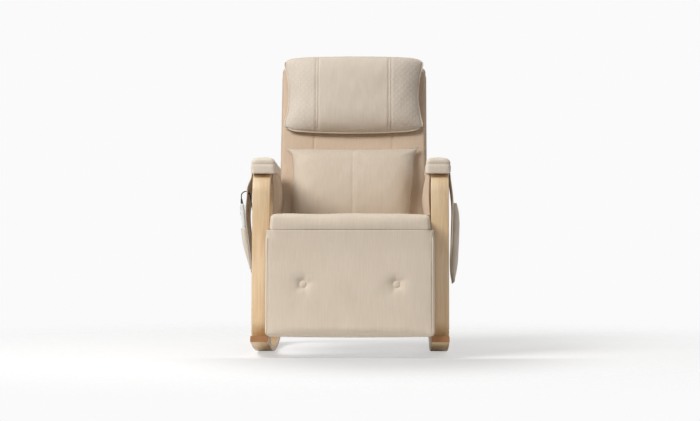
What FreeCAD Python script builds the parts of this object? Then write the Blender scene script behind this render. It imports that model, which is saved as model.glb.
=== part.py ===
import FreeCAD, Part
import math
import os
from types import SimpleNamespace
from FreeCAD import Placement, Rotation, Vector

# Massage rocking chair: bentwood side frames on rockers, padded seat, reclining back and lift-up footrest.
# Millimetres. Z is up, the chair faces -Y, and the floor touches the rockers at the origin's height.
# Left and right are the sitter's, so right is -X.

doc = FreeCAD.newDocument("massage_rocking_chair")
sheet = doc.addObject("Spreadsheet::Sheet", "dims")

SIZES = {
    # rockers and bentwood side frames
    "rocker_radius": 2050,
    "nose_reach": 462,
    "tail_reach": 428,
    "strip_thickness": 20,
    "strip_width": 58,
    "inner_half_width": 262,
    "wood_round": 3,
    "nose_ledge": 50,
    "tail_ledge": 55,
    "foot_bend": 50,
    "foot_length": 75,
    "glue_gap": 0.3,
    "leg_lean": 8.2,
    "arm_height": 598,
    "arm_fall": 3,
    "arm_bend": 65,
    "rear_bend": 85,
    "rear_lean": 10,
    # rails, bolts and screws
    "rail_depth": 60,
    "front_rail_drop": 132,
    "rear_rail_drop": 68,
    "rail_bolt_half_gap": 16,
    "bolt_radius": 3,
    "bolt_head_radius": 6,
    "bolt_head_height": 4,
    "bolt_recess": 5,
    "bolt_socket_radius": 2.6,
    "bolt_reach": 45,
    "nut_radius": 6,
    "nut_length": 18,
    "nut_setback": 35,
    "hole_clearance": 0.3,
    "screw_radius": 2.2,
    "screw_head_radius": 4.2,
    "screw_head_height": 2.5,
    "screw_length": 34,
    "screw_half_gap": 15,
    # seat
    "seat_frame_height": 367,
    "seat_slope": 9.9,
    "tube_size": 25,
    "tube_wall": 1.6,
    "seat_spacer_length": 14.5,
    "seat_frame_overrun": 24,
    "seat_mid_tube": 210,
    "strap_width": 48,
    "strap_pitch": 62,
    "strap_thickness": 2,
    "strap_count": 6,
    "seat_cushion_gap": 9,
    "seat_cushion_top": 87,
    "seat_cushion_front": 96,
    "seat_cushion_rear": 370,
    "seat_lip_height": 32,
    "seat_round": 11,
    # footrest
    "footrest_pivot_drop": 2,
    "footrest_gap": 3,
    "footrest_thickness": 66,
    "footrest_floor_gap": 74.6,
    "footrest_overlap": 8,
    "footrest_round": 9,
    "footrest_corner": 20,
    "board_thickness": 15,
    "board_side_margin": 20,
    "board_top": 34,
    "board_margin": 30,
    "tuft_spacing": 300,
    "tuft_drop": 133,
    "tuft_radius": 13,
    "tuft_thickness": 4.5,
    "tuft_depth": 10,
    # hinges
    "hinge_plate": 4,
    "hinge_gap": 0.5,
    "hinge_eye_radius": 12,
    "pin_radius": 5,
    "pin_head_radius": 8,
    "pin_head_height": 2,
    "pin_slack": 0.6,
    "running_fit": 0.05,
    "footrest_hinge_inset": 51.5,
    "footrest_arm_length": 90,
    "recline_setback": 450,
    "recline_rise": 45,
    "soft_gap": 0.4,
    # back
    "back_recline": 22,
    "back_side_gap": 6,
    "back_bottom": 30,
    "back_top": 665,
    "back_front": 104,
    "back_round": 16,
    "channel_half_width": 138,
    "channel_bottom": 105,
    "channel_top": 605,
    "panel_thickness": 16,
    "back_tube_bottom": 20,
    "back_tube_top": 655,
    "back_cross_height": 75,
    "cover_inset": 8,
    "cover_bottom": 40,
    "cover_rear": 58,
    "cover_wall": 3,
    # massage drive
    "rod_spacing": 220,
    "rod_radius": 6,
    "rod_setback": 12,
    "bracket_height": 22,
    "bracket_width": 28,
    "screw_offset": 60,
    "lead_radius": 6,
    "journal_radius": 4,
    "lift_motor_radius": 24,
    "lift_motor_length": 60,
    "carriage_rest": 380,
    "carriage_half_width": 132,
    "carriage_half_height": 60,
    "carriage_plate": 8,
    "roller_motor_radius": 22,
    "roller_motor_length": 48,
    "gear_module": 2,
    "pinion_teeth": 18,
    "disc_teeth": 42,
    "gear_width": 10,
    "gear_backlash": 0.16,
    "head_disc_radius": 40,
    "head_disc_thickness": 6,
    "head_radius": 19,
    "head_reach": 20,
    "head_offset": 21,
    # pillows
    "pillow_inset": 8,
    "pillow_bottom": 384,
    "pillow_top": 668,
    "pillow_thickness": 95,
    "pillow_corner": 34,
    "pillow_round": 26,
    "flap_half_width": 150,
    "flap_thickness": 3,
    "flap_drop": 120,
    "lumbar_inset": 30,
    "lumbar_bottom": 30,
    "lumbar_top": 338,
    "lumbar_depth": 88,
    # arms
    "pad_inner_overhang": 19,
    "pad_outer_overhang": 9,
    "pad_front": 62,
    "pad_rear": 325,
    "pad_thickness": 50,
    "pad_round": 14,
    "inner_flap_gap": 15,
    "inner_flap_thickness": 3.5,
    "inner_flap_front": 12,
    "inner_flap_rear": 300,
    "inner_flap_drop": 140,
    "outer_flap_front": 8,
    "outer_flap_length": 238,
    "snap_radius": 4,
    "snap_height": 2,
    "pocket_wall": 2.5,
    "remote_pocket_front": 12,
    "remote_pocket_length": 96,
    "magazine_pocket_front": 12,
    "magazine_pocket_length": 222,
    # remote control and its cord
    "remote_thickness": 12.5,
    "remote_width": 44,
    "remote_length": 125,
    "remote_round": 4,
    "remote_tilt": 6,
    "remote_middle": 60,
    "remote_foot_gap": 23.3,
    "remote_foot_drop": 212,
    "key_radius": 5.5,
    "key_height": 3.2,
    "key_proud": 1.2,
    "key_clearance": 0.35,
    "relief_length": 18,
    "relief_base_radius": 4.4,
    "relief_tip_radius": 2.6,
    "cord_radius": 1.75,
    "eyelet_bore": 6.5,
    "eyelet_radius": 8.2,
    "eyelet_rim_radius": 10.5,
    # control box under the seat
    "box_left": 20,
    "box_length": 130,
    "box_front": 150,
    "box_width": 120,
    "box_height": 45,
    "box_wall": 2.5,
    "box_cover": 2.5,
    "circuit_thickness": 1.6,
    "inlet_radius": 6,
    "inlet_bore": 2.75,
    "inlet_pin": 1.05,
    "inlet_length": 14,
    "gland_radius": 5,
    "gland_length": 17,
}

# Widths that follow from the space between the side frames.
FITS = {
    "outer_half_width": "=inner_half_width + strip_width",
    "tube_outer_half": "=inner_half_width - seat_spacer_length",
    "seat_cushion_half_width": "=inner_half_width - seat_cushion_gap",
    "footrest_half_width": "=inner_half_width + footrest_overlap",
    "board_half_width": "=footrest_half_width - board_side_margin",
    "footrest_hinge_spacing": "=2 * (tube_outer_half - footrest_hinge_inset)",
    "back_half_width": "=inner_half_width - back_side_gap",
    "cover_half_width": "=back_half_width - cover_inset",
    "pillow_half_width": "=back_half_width - pillow_inset",
    "lumbar_half_width": "=back_half_width - lumbar_inset",
    "pad_inner": "=inner_half_width - pad_inner_overhang",
    "pad_outer": "=outer_half_width + pad_outer_overhang",
    "inner_flap_offset": "=inner_half_width - inner_flap_gap",
    "remote_foot_offset": "=outer_half_width + remote_foot_gap",
}

for row, (alias, value) in enumerate((SIZES | FITS).items(), start=1):
    sheet.set(f"A{row}", alias)
    sheet.set(f"B{row}", str(value))
    sheet.setAlias(f"B{row}", alias)
doc.recompute()
d = SimpleNamespace(**{alias: float(sheet.get(alias)) for alias in SIZES | FITS})

X_AXIS = Vector(1, 0, 0)
Y_AXIS = Vector(0, 1, 0)
SIDES = (("right", -1), ("left", 1))
nodes = {}


def cosd(angle):
    return math.cos(math.radians(angle))


def sind(angle):
    return math.sin(math.radians(angle))


def bind(item, prop, value):
    """Set a property from a number, or bind it to cells when the value is text."""
    if isinstance(value, str):
        item.setExpression(prop, value)
    else:
        setattr(item, prop, value)


def node(name, item):
    item.Label = name
    nodes[name] = item
    return item


def tilted(base, lean):
    """A local frame whose Z leans back by the given angle and whose Y points to the rear."""
    return Placement(base, Rotation(X_AXIS, -lean))


def box(name, corner, sizes, place=Placement()):
    item = doc.addObject("Part::Box", name)
    for prop, value in zip(("Length", "Width", "Height"), sizes):
        bind(item, prop, value)
    item.Placement = place.multiply(Placement(Vector(*corner), Rotation()))
    return item


TURNS = {
    "x": Rotation(Y_AXIS, 90),
    "y": Rotation(X_AXIS, -90),
    "z": Rotation(),
}


def rod(name, base, axis, radius, length, place=Placement()):
    item = doc.addObject("Part::Cylinder", name)
    bind(item, "Radius", radius)
    bind(item, "Height", length)
    item.Placement = place.multiply(Placement(Vector(*base), TURNS[axis]))
    return item


def group(name, items):
    item = doc.addObject("Part::Compound", name)
    item.Links = items
    return item


def fuse(name, items):
    item = doc.addObject("Part::MultiFuse", name)
    item.Shapes = items
    item.Refine = True
    return item


def cut(name, base, tools):
    item = doc.addObject("Part::Cut", name)
    item.Base = base
    item.Tool = tools[0] if len(tools) == 1 else group(name + "_tools", tools)
    return item


def solid(name, shape, place=Placement()):
    item = doc.addObject("Part::Feature", name)
    item.Shape = shape
    item.Placement = place
    return item


def body(name, outline, plane, start, length, place=Placement(), rounding=None):
    """A padded sketch, from start along the plane's normal, with all its edges rounded on request."""
    item = doc.addObject("PartDesign::Body", name)
    sketch = item.newObject("Sketcher::SketchObject", name + "_outline")
    support = next(f for f in item.Origin.OriginFeatures if f.Role == plane)
    sketch.AttachmentSupport = [(support, "")]
    sketch.MapMode = "FlatFace"
    sketch.setExpression("AttachmentOffset.Base.z", str(start))
    sketch.addGeometry(outline, False)
    pad = item.newObject("PartDesign::Pad", name + "_pad")
    pad.Profile = sketch
    bind(pad, "Length", length)
    if rounding:
        doc.recompute()
        rounded = item.newObject("PartDesign::Fillet", name + "_rounding")
        rounded.Base = (pad, ["Edge1"])
        rounded.UseAllEdges = True
        bind(rounded, "Radius", rounding)
    item.Placement = place
    return item


def corner_outline(points, radii):
    """A closed outline of straight lines, with an arc of the given radius at each corner."""
    flat = [Vector(a, b, 0) for a, b in points]
    ends = []
    arcs = []
    for i, point in enumerate(flat):
        before = (flat[i - 1] - point).normalize()
        after = (flat[(i + 1) % len(flat)] - point).normalize()
        radius = radii[i]
        if radius == 0:
            ends.append((point, point))
            arcs.append(None)
            continue
        half = before.getAngle(after) / 2
        run = radius / math.tan(half)
        middle = (before + after).normalize() * (radius / math.sin(half) - radius)
        ends.append((point + before * run, point + after * run))
        arcs.append(Part.Arc(point + before * run, point + middle, point + after * run))
    edges = []
    for i, arc in enumerate(arcs):
        if arc:
            edges.append(arc)
        start = ends[i][1]
        stop = ends[(i + 1) % len(flat)][0]
        if (stop - start).Length > 1e-6:
            edges.append(Part.LineSegment(start, stop))
    return edges


def strip_outline(start, heading, moves, thickness):
    """The side outline of a bent strip: straight runs and right-hand bends along its middle line."""

    def aside(point, angle, offset):
        return Vector(point.x - offset * sind(angle), point.y + offset * cosd(angle), 0)

    outer = []
    inner = []
    point = Vector(start[0], start[1], 0)
    half = thickness / 2
    first = (aside(point, heading, half), aside(point, heading, -half))
    for move in moves:
        if len(move) == 1:
            after = point + Vector(cosd(heading), sind(heading), 0) * move[0]
            for side, edges in ((half, outer), (-half, inner)):
                edges.append(Part.LineSegment(aside(point, heading, side), aside(after, heading, side)))
        else:
            radius, angle = move
            centre = aside(point, heading, -radius)
            middle = aside(centre, heading - angle / 2, radius)
            after = aside(centre, heading - angle, radius)
            for side, edges in ((half, outer), (-half, inner)):
                ends = aside(point, heading, side)
                bend = aside(middle, heading - angle / 2, side)
                edges.append(Part.Arc(ends, bend, aside(after, heading - angle, side)))
            heading -= angle
        point = after
    last = (aside(point, heading, half), aside(point, heading, -half))
    return outer + [Part.LineSegment(last[0], last[1])] + inner[::-1] + [Part.LineSegment(first[1], first[0])]


# Rockers: an arc whose lowest point is at y = 0 on the floor.
half_strip = d.strip_thickness / 2
rocker_middle = d.rocker_radius - half_strip
nose_angle = -math.degrees(math.asin(d.nose_reach / d.rocker_radius))
tail_angle = math.degrees(math.asin(d.tail_reach / d.rocker_radius))


def on_arc(radius, angle):
    return Vector(0, radius * sind(angle), d.rocker_radius - radius * cosd(angle))


tail_point = on_arc(rocker_middle, tail_angle)
rocker_moves = [(rocker_middle, tail_angle - nose_angle)]
rocker_outline = strip_outline(
    (tail_point.y, tail_point.z),
    180 + tail_angle,
    rocker_moves,
    d.strip_thickness,
)

# Side frames: foot, front leg, arm, rear leg and foot bent from one strip that stands on the rocker.
foot_middle = d.rocker_radius - d.strip_thickness - d.glue_gap - half_strip
foot_angle = math.degrees(d.foot_length / foot_middle)
bend_edge = d.foot_bend + half_strip
front_centre_y = -d.nose_reach + d.nose_ledge + bend_edge
rear_centre_y = d.tail_reach - d.tail_ledge - bend_edge
front_foot = math.degrees(math.asin(front_centre_y / (foot_middle - d.foot_bend)))
rear_foot = math.degrees(math.asin(rear_centre_y / (foot_middle - d.foot_bend)))
front_centre = on_arc(foot_middle - d.foot_bend, front_foot)
rear_centre = on_arc(foot_middle - d.foot_bend, rear_foot)
leg_heading = 90 - d.leg_lean
arm_heading = -d.arm_fall
rear_heading = -90 + d.rear_lean


def bend_step(radius, before, after):
    """How far a right-hand bend carries the middle line."""
    return Vector(0, -sind(after) + sind(before), cosd(after) - cosd(before)) * radius


leg_foot = front_centre + Vector(0, -sind(leg_heading), cosd(leg_heading)) * d.foot_bend
arm_step = bend_step(d.arm_bend, leg_heading, arm_heading)
arm_middle_height = d.arm_height - half_strip * cosd(d.arm_fall)
leg_run = (arm_middle_height - leg_foot.z - arm_step.z) / sind(leg_heading)
leg_way = Vector(0, cosd(leg_heading), sind(leg_heading))
arm_start = leg_foot + leg_way * leg_run + arm_step
rear_end = rear_centre + Vector(0, -sind(rear_heading), cosd(rear_heading)) * d.foot_bend
span = rear_end - arm_start - bend_step(d.rear_bend, arm_heading, rear_heading)
arm_way = Vector(0, cosd(arm_heading), sind(arm_heading))
rear_way = Vector(0, cosd(rear_heading), sind(rear_heading))
cross = arm_way.y * rear_way.z - arm_way.z * rear_way.y
arm_run = (span.y * rear_way.z - span.z * rear_way.y) / cross
rear_run = (arm_way.y * span.z - arm_way.z * span.y) / cross
side_start = on_arc(foot_middle, front_foot + foot_angle)
side_moves = [
    (foot_middle, foot_angle),
    (d.foot_bend, 180 + front_foot - leg_heading),
    (leg_run,),
    (d.arm_bend, leg_heading - arm_heading),
    (arm_run,),
    (d.rear_bend, arm_heading - rear_heading),
    (rear_run,),
    (d.foot_bend, rear_heading + 180 - rear_foot),
    (foot_middle, foot_angle),
]
side_heading = 180 + front_foot + foot_angle
side_outline = strip_outline((side_start.y, side_start.z), side_heading, side_moves, d.strip_thickness)


def leg_frame(height):
    """The front legs' middle line at a height."""
    lean = math.tan(math.radians(d.leg_lean))
    return tilted(Vector(0, leg_foot.y + (height - leg_foot.z) * lean, height), d.leg_lean)


def rear_frame(height):
    """The rear legs' middle line at a height."""
    lean = math.tan(math.radians(d.rear_lean))
    return tilted(Vector(0, rear_end.y - (height - rear_end.z) * lean, height), -d.rear_lean)


arm_frame = tilted(arm_start, d.arm_fall)
seat_frame_place = tilted(leg_frame(d.seat_frame_height).Base, d.seat_slope)
half_tube = d.tube_size / 2

# The seat tubes meet the rear legs where the two middle lines cross.
seat_front = seat_frame_place.Base
slope = math.tan(math.radians(d.seat_slope))
lean = math.tan(math.radians(d.rear_lean))
cross_height = (seat_front.z - slope * (rear_end.y + lean * rear_end.z - seat_front.y)) / (1 - slope * lean)
rear_mount = rear_frame(cross_height)
seat_run = (rear_mount.Base - seat_front).Length

# Bolts run along X through the side frames into the rails and the seat frame.
front_rail_place = leg_frame(d.seat_frame_height - d.front_rail_drop)
rail_places = (front_rail_place, rear_frame(cross_height - d.rear_rail_drop))
seat_places = (seat_frame_place, Placement(rear_mount.Base, seat_frame_place.Rotation))
outer_half_width = d.outer_half_width
bolt_places = []
for place in rail_places:
    for rise in (-d.rail_bolt_half_gap, d.rail_bolt_half_gap):
        bolt_places.append(place.multiply(Placement(Vector(0, 0, rise), Rotation())))
bolt_places.extend(seat_places)


def along_x(place, side, start, stop, name, radius):
    """A rod along X between two distances from the middle plane, on one side."""
    low = min(side * start, side * stop)
    return rod(name, (low, 0, 0), "x", radius, abs(stop - start), place)


bolts = []
bolt_holes = {}
bolt_recesses = {}
head_seat = outer_half_width - d.bolt_recess
for side_name, side in SIDES:
    holes = []
    recesses = []
    for i, place in enumerate(bolt_places):
        tip = d.inner_half_width - d.bolt_reach
        name = f"{side_name}_bolt_{i}"
        shank = along_x(place, side, tip, head_seat, name + "_shank", "dims.bolt_radius")
        top = head_seat + d.bolt_head_height
        head = along_x(place, side, head_seat, top, name + "_head", "dims.bolt_head_radius")
        socket = doc.addObject("Part::Prism", name + "_socket")
        socket.Polygon = 6
        bind(socket, "Circumradius", "dims.bolt_socket_radius")
        bind(socket, "Height", "dims.bolt_head_height")
        low = head_seat + 1 if side > 0 else -head_seat - 1 - d.bolt_head_height
        socket.Placement = place.multiply(Placement(Vector(low, 0, 0), TURNS["x"]))
        bolts.append(cut(name, fuse(name + "_blank", [shank, head]), [socket]))
        hole_radius = "dims.bolt_radius + dims.hole_clearance"
        holes.append(along_x(place, side, tip - 1, outer_half_width + 1, name + "_hole", hole_radius))
        wide = "dims.bolt_head_radius + dims.hole_clearance"
        recesses.append(along_x(place, side, head_seat, outer_half_width + 1, name + "_recess", wide))
    bolt_holes[side_name] = holes
    bolt_recesses[side_name] = recesses
node("frame_bolts", group("frame_bolts", bolts))

# Barrel nuts lie across the rails.
nuts = []
nut_holes = []
for rail_index, place in enumerate(rail_places):
    across = []
    for side_name, side in SIDES:
        for j, rise in enumerate((-d.rail_bolt_half_gap, d.rail_bolt_half_gap)):
            middle = side * (d.inner_half_width - d.nut_setback)
            name = f"nut_{rail_index}_{side_name}_{j}"
            base = (middle, -d.nut_length / 2, rise)
            blank = rod(name + "_blank", base, "y", "dims.nut_radius", "dims.nut_length", place)
            thread = rod(
                name + "_thread",
                (middle - 2 * d.nut_radius, 0, rise),
                "x",
                "dims.bolt_radius + dims.running_fit",
                "4 * dims.nut_radius",
                place,
            )
            nuts.append(cut(name, blank, [thread]))
            base = (middle, -d.strip_thickness, rise)
            across.append(
                rod(
                    name + "_hole",
                    base,
                    "y",
                    "dims.nut_radius + dims.hole_clearance",
                    "2 * dims.strip_thickness",
                    place,
                )
            )
    nut_holes.append(across)
node("barrel_nuts", group("barrel_nuts", nuts))

for index, (rail_name, place) in enumerate(zip(("front_rail", "rear_rail"), rail_places)):
    corner = (-d.inner_half_width, -half_strip, -d.rail_depth / 2)
    sizes = ("2 * dims.inner_half_width", "dims.strip_thickness", "dims.rail_depth")
    blank = box(rail_name + "_blank", corner, sizes, place)
    tools = list(nut_holes[index])
    for side_name, side in SIDES:
        tools.extend(bolt_holes[side_name][2 * index : 2 * index + 2])
    node(rail_name, cut(rail_name, blank, [fuse(rail_name + "_holes", tools)]))

# Screws hold each foot down on its rocker.
foot_spots = (front_foot + foot_angle / 2, rear_foot - foot_angle / 2)
screws = []
for side_name, side in SIDES:
    holes = []
    for i, angle in enumerate(foot_spots):
        top = on_arc(foot_middle - half_strip, angle)
        place = Placement(top, Rotation(X_AXIS, angle))
        for j, shift in enumerate((-d.screw_half_gap, d.screw_half_gap)):
            across = side * (d.inner_half_width + d.strip_width / 2) + shift
            name = f"{side_name}_screw_{i}_{j}"
            base = (across, 0, -d.screw_length)
            shank = rod(name + "_shank", base, "z", "dims.screw_radius", "dims.screw_length", place)
            base = (across, 0, -d.screw_head_height)
            head = rod(name + "_head", base, "z", "dims.screw_head_radius", "dims.screw_head_height", place)
            screws.append(fuse(name, [shank, head]))
            base = (across, 0, -d.screw_length - 0.5)
            hole = rod(
                name + "_hole",
                base,
                "z",
                "dims.screw_radius + dims.running_fit",
                "dims.screw_length + 2",
                place,
            )
            base = (across, 0, -d.screw_head_height - 0.1)
            wide = "dims.screw_head_radius + dims.running_fit"
            recess = rod(name + "_recess", base, "z", wide, "dims.screw_head_height + 2", place)
            holes.append(fuse(name + "_hole_all", [hole, recess]))
    start = "dims.inner_half_width" if side > 0 else "-dims.inner_half_width - dims.strip_width"
    name = side_name + "_rocker"
    blank = body(
        name + "_blank",
        rocker_outline,
        "YZ_Plane",
        start,
        "dims.strip_width",
        rounding="dims.wood_round",
    )
    node(name, cut(name, blank, holes))
    name = side_name + "_side_frame"
    blank = body(
        name + "_blank",
        side_outline,
        "YZ_Plane",
        start,
        "dims.strip_width",
        rounding="dims.wood_round",
    )
    node(name, cut(name, blank, holes + bolt_holes[side_name] + bolt_recesses[side_name]))
node("rocker_screws", group("rocker_screws", screws))


def tube_frame(name, tubes, place, tools):
    """Square tubes welded into one frame, hollow, with holes cut where tools are given."""
    outside = []
    inside = []
    for i, (corner, sizes, axis) in enumerate(tubes):
        outside.append(box(f"{name}_tube_{i}", corner, sizes, place))
        inner_corner = [c + (0 if k == axis else d.tube_wall) for k, c in enumerate(corner)]
        inner_sizes = [s if k == axis else s + " - 2 * dims.tube_wall" for k, s in enumerate(sizes)]
        inside.append(box(f"{name}_hollow_{i}", inner_corner, inner_sizes, place))
    return cut(name, fuse(name + "_outside", outside), [fuse(name + "_inside", inside + tools)])


# Seat frame, hung between the legs on spacers.
inner_tube = d.tube_outer_half - d.tube_size
seat_frame_length = seat_run + half_tube + d.seat_frame_overrun
cross_sizes = ("2 * (dims.tube_outer_half - dims.tube_size)", "dims.tube_size", "dims.tube_size")
side_sizes = ("dims.tube_size", f"{seat_frame_length}", "dims.tube_size")
recline_local = Vector(0, d.recline_setback, d.recline_rise)
rear_tube = d.recline_setback - 2 * d.tube_size
seat_tubes = [
    ((-d.tube_outer_half, -half_tube, -half_tube), side_sizes, 1),
    ((inner_tube, -half_tube, -half_tube), side_sizes, 1),
]
for setback in (0, d.seat_mid_tube, rear_tube):
    seat_tubes.append(((-inner_tube, setback - half_tube, -half_tube), cross_sizes, 0))
seat_holes = [hole for side_name, side in SIDES for hole in bolt_holes[side_name][-2:]]
node("seat_frame", tube_frame("seat_frame", seat_tubes, seat_frame_place, seat_holes))

spacers = []
for side_name, side in SIDES:
    for i, place in enumerate(seat_places):
        name = f"{side_name}_spacer_{i}"
        blank = along_x(place, side, d.tube_outer_half, d.inner_half_width, name + "_blank", 9)
        spacers.append(cut(name, blank, [bolt_holes[side_name][len(rail_places) * 2 + i]]))
node("seat_spacers", group("seat_spacers", spacers))

straps = []
for i in range(int(d.strap_count)):
    corner = (-d.tube_outer_half + 2, 20 + i * d.strap_pitch, half_tube)
    sizes = ("2 * dims.tube_outer_half - 4", "dims.strap_width", "dims.strap_thickness")
    straps.append(box(f"strap_{i}", corner, sizes, seat_frame_place))
node("seat_webbing", group("seat_webbing", straps))

cushion_base = half_tube + d.strap_thickness + d.soft_gap
step = -8
seat_points = [
    (-d.seat_cushion_front, d.seat_lip_height),
    (step, d.seat_lip_height),
    (step, cushion_base),
    (d.seat_cushion_rear, cushion_base),
    (d.seat_cushion_rear, d.seat_cushion_top),
    (-d.seat_cushion_front, d.seat_cushion_top),
]
seat_outline = corner_outline(seat_points, (14, 0, 0, 14, 20, 28))
seat_cushion = body(
    "seat_cushion",
    seat_outline,
    "YZ_Plane",
    "-dims.seat_cushion_half_width",
    "2 * dims.seat_cushion_half_width",
    seat_frame_place,
)
node("seat_cushion", seat_cushion)

# Footrest: a padded board whose round top edge turns about its own hinge line.
half_rest = d.footrest_thickness / 2
footrest_offset = half_strip + d.footrest_gap + half_rest
footrest_shift = Placement(Vector(0, -footrest_offset, 0), Rotation())
footrest_place = leg_frame(d.seat_frame_height - d.footrest_pivot_drop).multiply(footrest_shift)
footrest_pivot = footrest_place.Base
footrest_length = (footrest_pivot.z - d.footrest_floor_gap) / cosd(d.leg_lean)
board_bottom = footrest_length - d.board_margin

board_corner = (-d.board_half_width, half_rest - d.board_thickness, -board_bottom)
board_height = f"{board_bottom} - dims.board_top"
board = box(
    "footrest_board",
    board_corner,
    ("2 * dims.board_half_width", "dims.board_thickness", board_height),
    footrest_place,
)
node("footrest_board", board)

corner_cut = d.footrest_corner
rest_points = [
    Vector(-half_rest, 0, 0),
    Vector(half_rest, 0, 0),
    Vector(half_rest, corner_cut - footrest_length, 0),
    Vector(half_rest - corner_cut, -footrest_length, 0),
    Vector(corner_cut - half_rest, -footrest_length, 0),
    Vector(-half_rest, corner_cut - footrest_length, 0),
]
bulge = corner_cut * (1 - cosd(45))
rest_outline = [
    Part.Arc(rest_points[0], Vector(0, half_rest, 0), rest_points[1]),
    Part.LineSegment(rest_points[1], rest_points[2]),
    Part.Arc(rest_points[2], Vector(half_rest - bulge, bulge - footrest_length, 0), rest_points[3]),
    Part.LineSegment(rest_points[3], rest_points[4]),
    Part.Arc(rest_points[4], Vector(bulge - half_rest, bulge - footrest_length, 0), rest_points[5]),
    Part.LineSegment(rest_points[5], rest_points[0]),
]
rest_blank = body(
    "footrest_cushion_blank",
    rest_outline,
    "YZ_Plane",
    "-dims.footrest_half_width",
    "2 * dims.footrest_half_width",
    footrest_place,
    "dims.footrest_round",
)
room = d.soft_gap
board_room = box(
    "board_room",
    (board_corner[0] - room, board_corner[1] - room, board_corner[2] - room),
    (
        "2 * dims.board_half_width + 2 * dims.soft_gap",
        "dims.board_thickness + 10",
        board_height + " + 2 * dims.soft_gap",
    ),
    footrest_place,
)
hinge_half = d.footrest_hinge_spacing / 2
hinge_low = hinge_half - 5
hinge_rooms = []
tufts = []
tuft_rooms = []
for side_name, side in SIDES:
    low = hinge_low if side > 0 else -hinge_low - 36
    hinge_rooms.append(
        box(
            side_name + "_hinge_room",
            (low, -14, -d.footrest_arm_length - 2),
            (36, 60, d.footrest_arm_length + 50),
            footrest_place,
        ),
    )
    across = side * d.tuft_spacing / 2
    floor = d.tuft_depth - half_rest
    base = (across, -half_rest - 5, -d.tuft_drop)
    wide = "dims.tuft_radius + 1.5"
    tuft_rooms.append(rod(side_name + "_tuft_room", base, "y", wide, "dims.tuft_depth + 5", footrest_place))
    base = (across, floor - room - d.tuft_thickness, -d.tuft_drop)
    tufts.append(
        rod(side_name + "_tuft", base, "y", "dims.tuft_radius", "dims.tuft_thickness", footrest_place),
    )
rest_tools = [fuse("footrest_rooms", [board_room] + hinge_rooms + tuft_rooms)]
node("footrest_cushion", cut("footrest_cushion", rest_blank, rest_tools))
node("footrest_buttons", group("footrest_buttons", tufts))



def hinge_pin(name, place, side, near, far):
    """A riveted pin through two leaves, with a head on each side."""
    head = "dims.pin_head_radius"
    inside = near - d.pin_slack
    outside = far + d.pin_slack
    shank = along_x(place, side, inside, outside, name + "_shank", "dims.pin_radius")
    inner_head = along_x(place, side, inside - d.pin_head_height, inside, name + "_inner_head", head)
    outer_head = along_x(place, side, outside, outside + d.pin_head_height, name + "_outer_head", head)
    return fuse(name, [shank, inner_head, outer_head])


# Footrest hinges: fixed leaves on the seat frame's front tube, moving leaves on the board.
pivot_in_seat = seat_frame_place.inverse().multVec(footrest_pivot)
eye = d.hinge_eye_radius
fixed_points = [
    (-half_tube, -half_tube),
    (-half_tube, half_tube),
    (pivot_in_seat.y - eye, pivot_in_seat.z + eye),
    (pivot_in_seat.y - eye, pivot_in_seat.z - eye),
]
fixed_outline = corner_outline(fixed_points, (0, 0, eye * 0.9, eye * 0.9))
arm_points = [
    (-eye, eye),
    (half_rest - d.board_thickness, eye),
    (half_rest - d.board_thickness, -d.footrest_arm_length),
    (4, -d.footrest_arm_length),
    (-eye, -eye),
]
arm_outline = corner_outline(arm_points, (eye * 0.9, eye * 0.5, 0, 3, eye * 0.9))
fixed_leaves = []
moving_leaves = []
pins = []
pin_bore = "dims.pin_radius + dims.running_fit"
plate = "dims.hinge_plate"
for side_name, side in SIDES:
    start = hinge_half if side > 0 else -hinge_half - d.hinge_plate
    name = side_name + "_footrest_fixed"
    leaf = body(name + "_blank", fixed_outline, "YZ_Plane", start, plate, seat_frame_place)
    bore = rod(name + "_bore", (start - 2, 0, 0), "x", pin_bore, "dims.hinge_plate + 4", footrest_place)
    fixed_leaves.append(cut(name, leaf, [bore]))
    near = hinge_half + d.hinge_plate + d.hinge_gap
    start = near if side > 0 else -near - d.hinge_plate
    name = side_name + "_footrest_moving"
    leaf = body(name + "_arm", arm_outline, "YZ_Plane", start, plate, footrest_place)
    flange_near = near + d.hinge_plate
    flange_low = flange_near if side > 0 else -flange_near - 16
    flange = box(
        name + "_flange",
        (flange_low, half_rest - d.board_thickness - 3, -d.footrest_arm_length),
        (16, 3, 56),
        footrest_place,
    )
    bore = rod(name + "_bore", (start - 2, 0, 0), "x", pin_bore, "dims.hinge_plate + 4", footrest_place)
    moving_leaves.append(cut(name, fuse(name + "_blank", [leaf, flange]), [bore]))
    pins.append(hinge_pin(name + "_pin", footrest_place, side, hinge_half, near + d.hinge_plate))
node("footrest_hinge_fixed", group("footrest_hinge_fixed", fixed_leaves))
node("footrest_hinge_moving", group("footrest_hinge_moving", moving_leaves))

# Backrest, in its own frame with the recline hinge at the origin, Z up along the back and Y to its rear.
recline_pivot = seat_frame_place.multVec(recline_local)
back_place = tilted(recline_pivot, d.back_recline)
tall = "dims.back_tube_top - dims.back_tube_bottom"
upright = ("dims.tube_size", "dims.tube_size", tall)
back_tubes = [
    ((-d.tube_outer_half, -half_tube, d.back_tube_bottom), upright, 2),
    ((inner_tube, -half_tube, d.back_tube_bottom), upright, 2),
]
top_tube = d.back_tube_top - half_tube
for height in (d.back_cross_height, top_tube):
    back_tubes.append(((-inner_tube, -half_tube, height - half_tube), cross_sizes, 0))
back_tube_frame = tube_frame("back_tube_frame", back_tubes, back_place, [])

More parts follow.
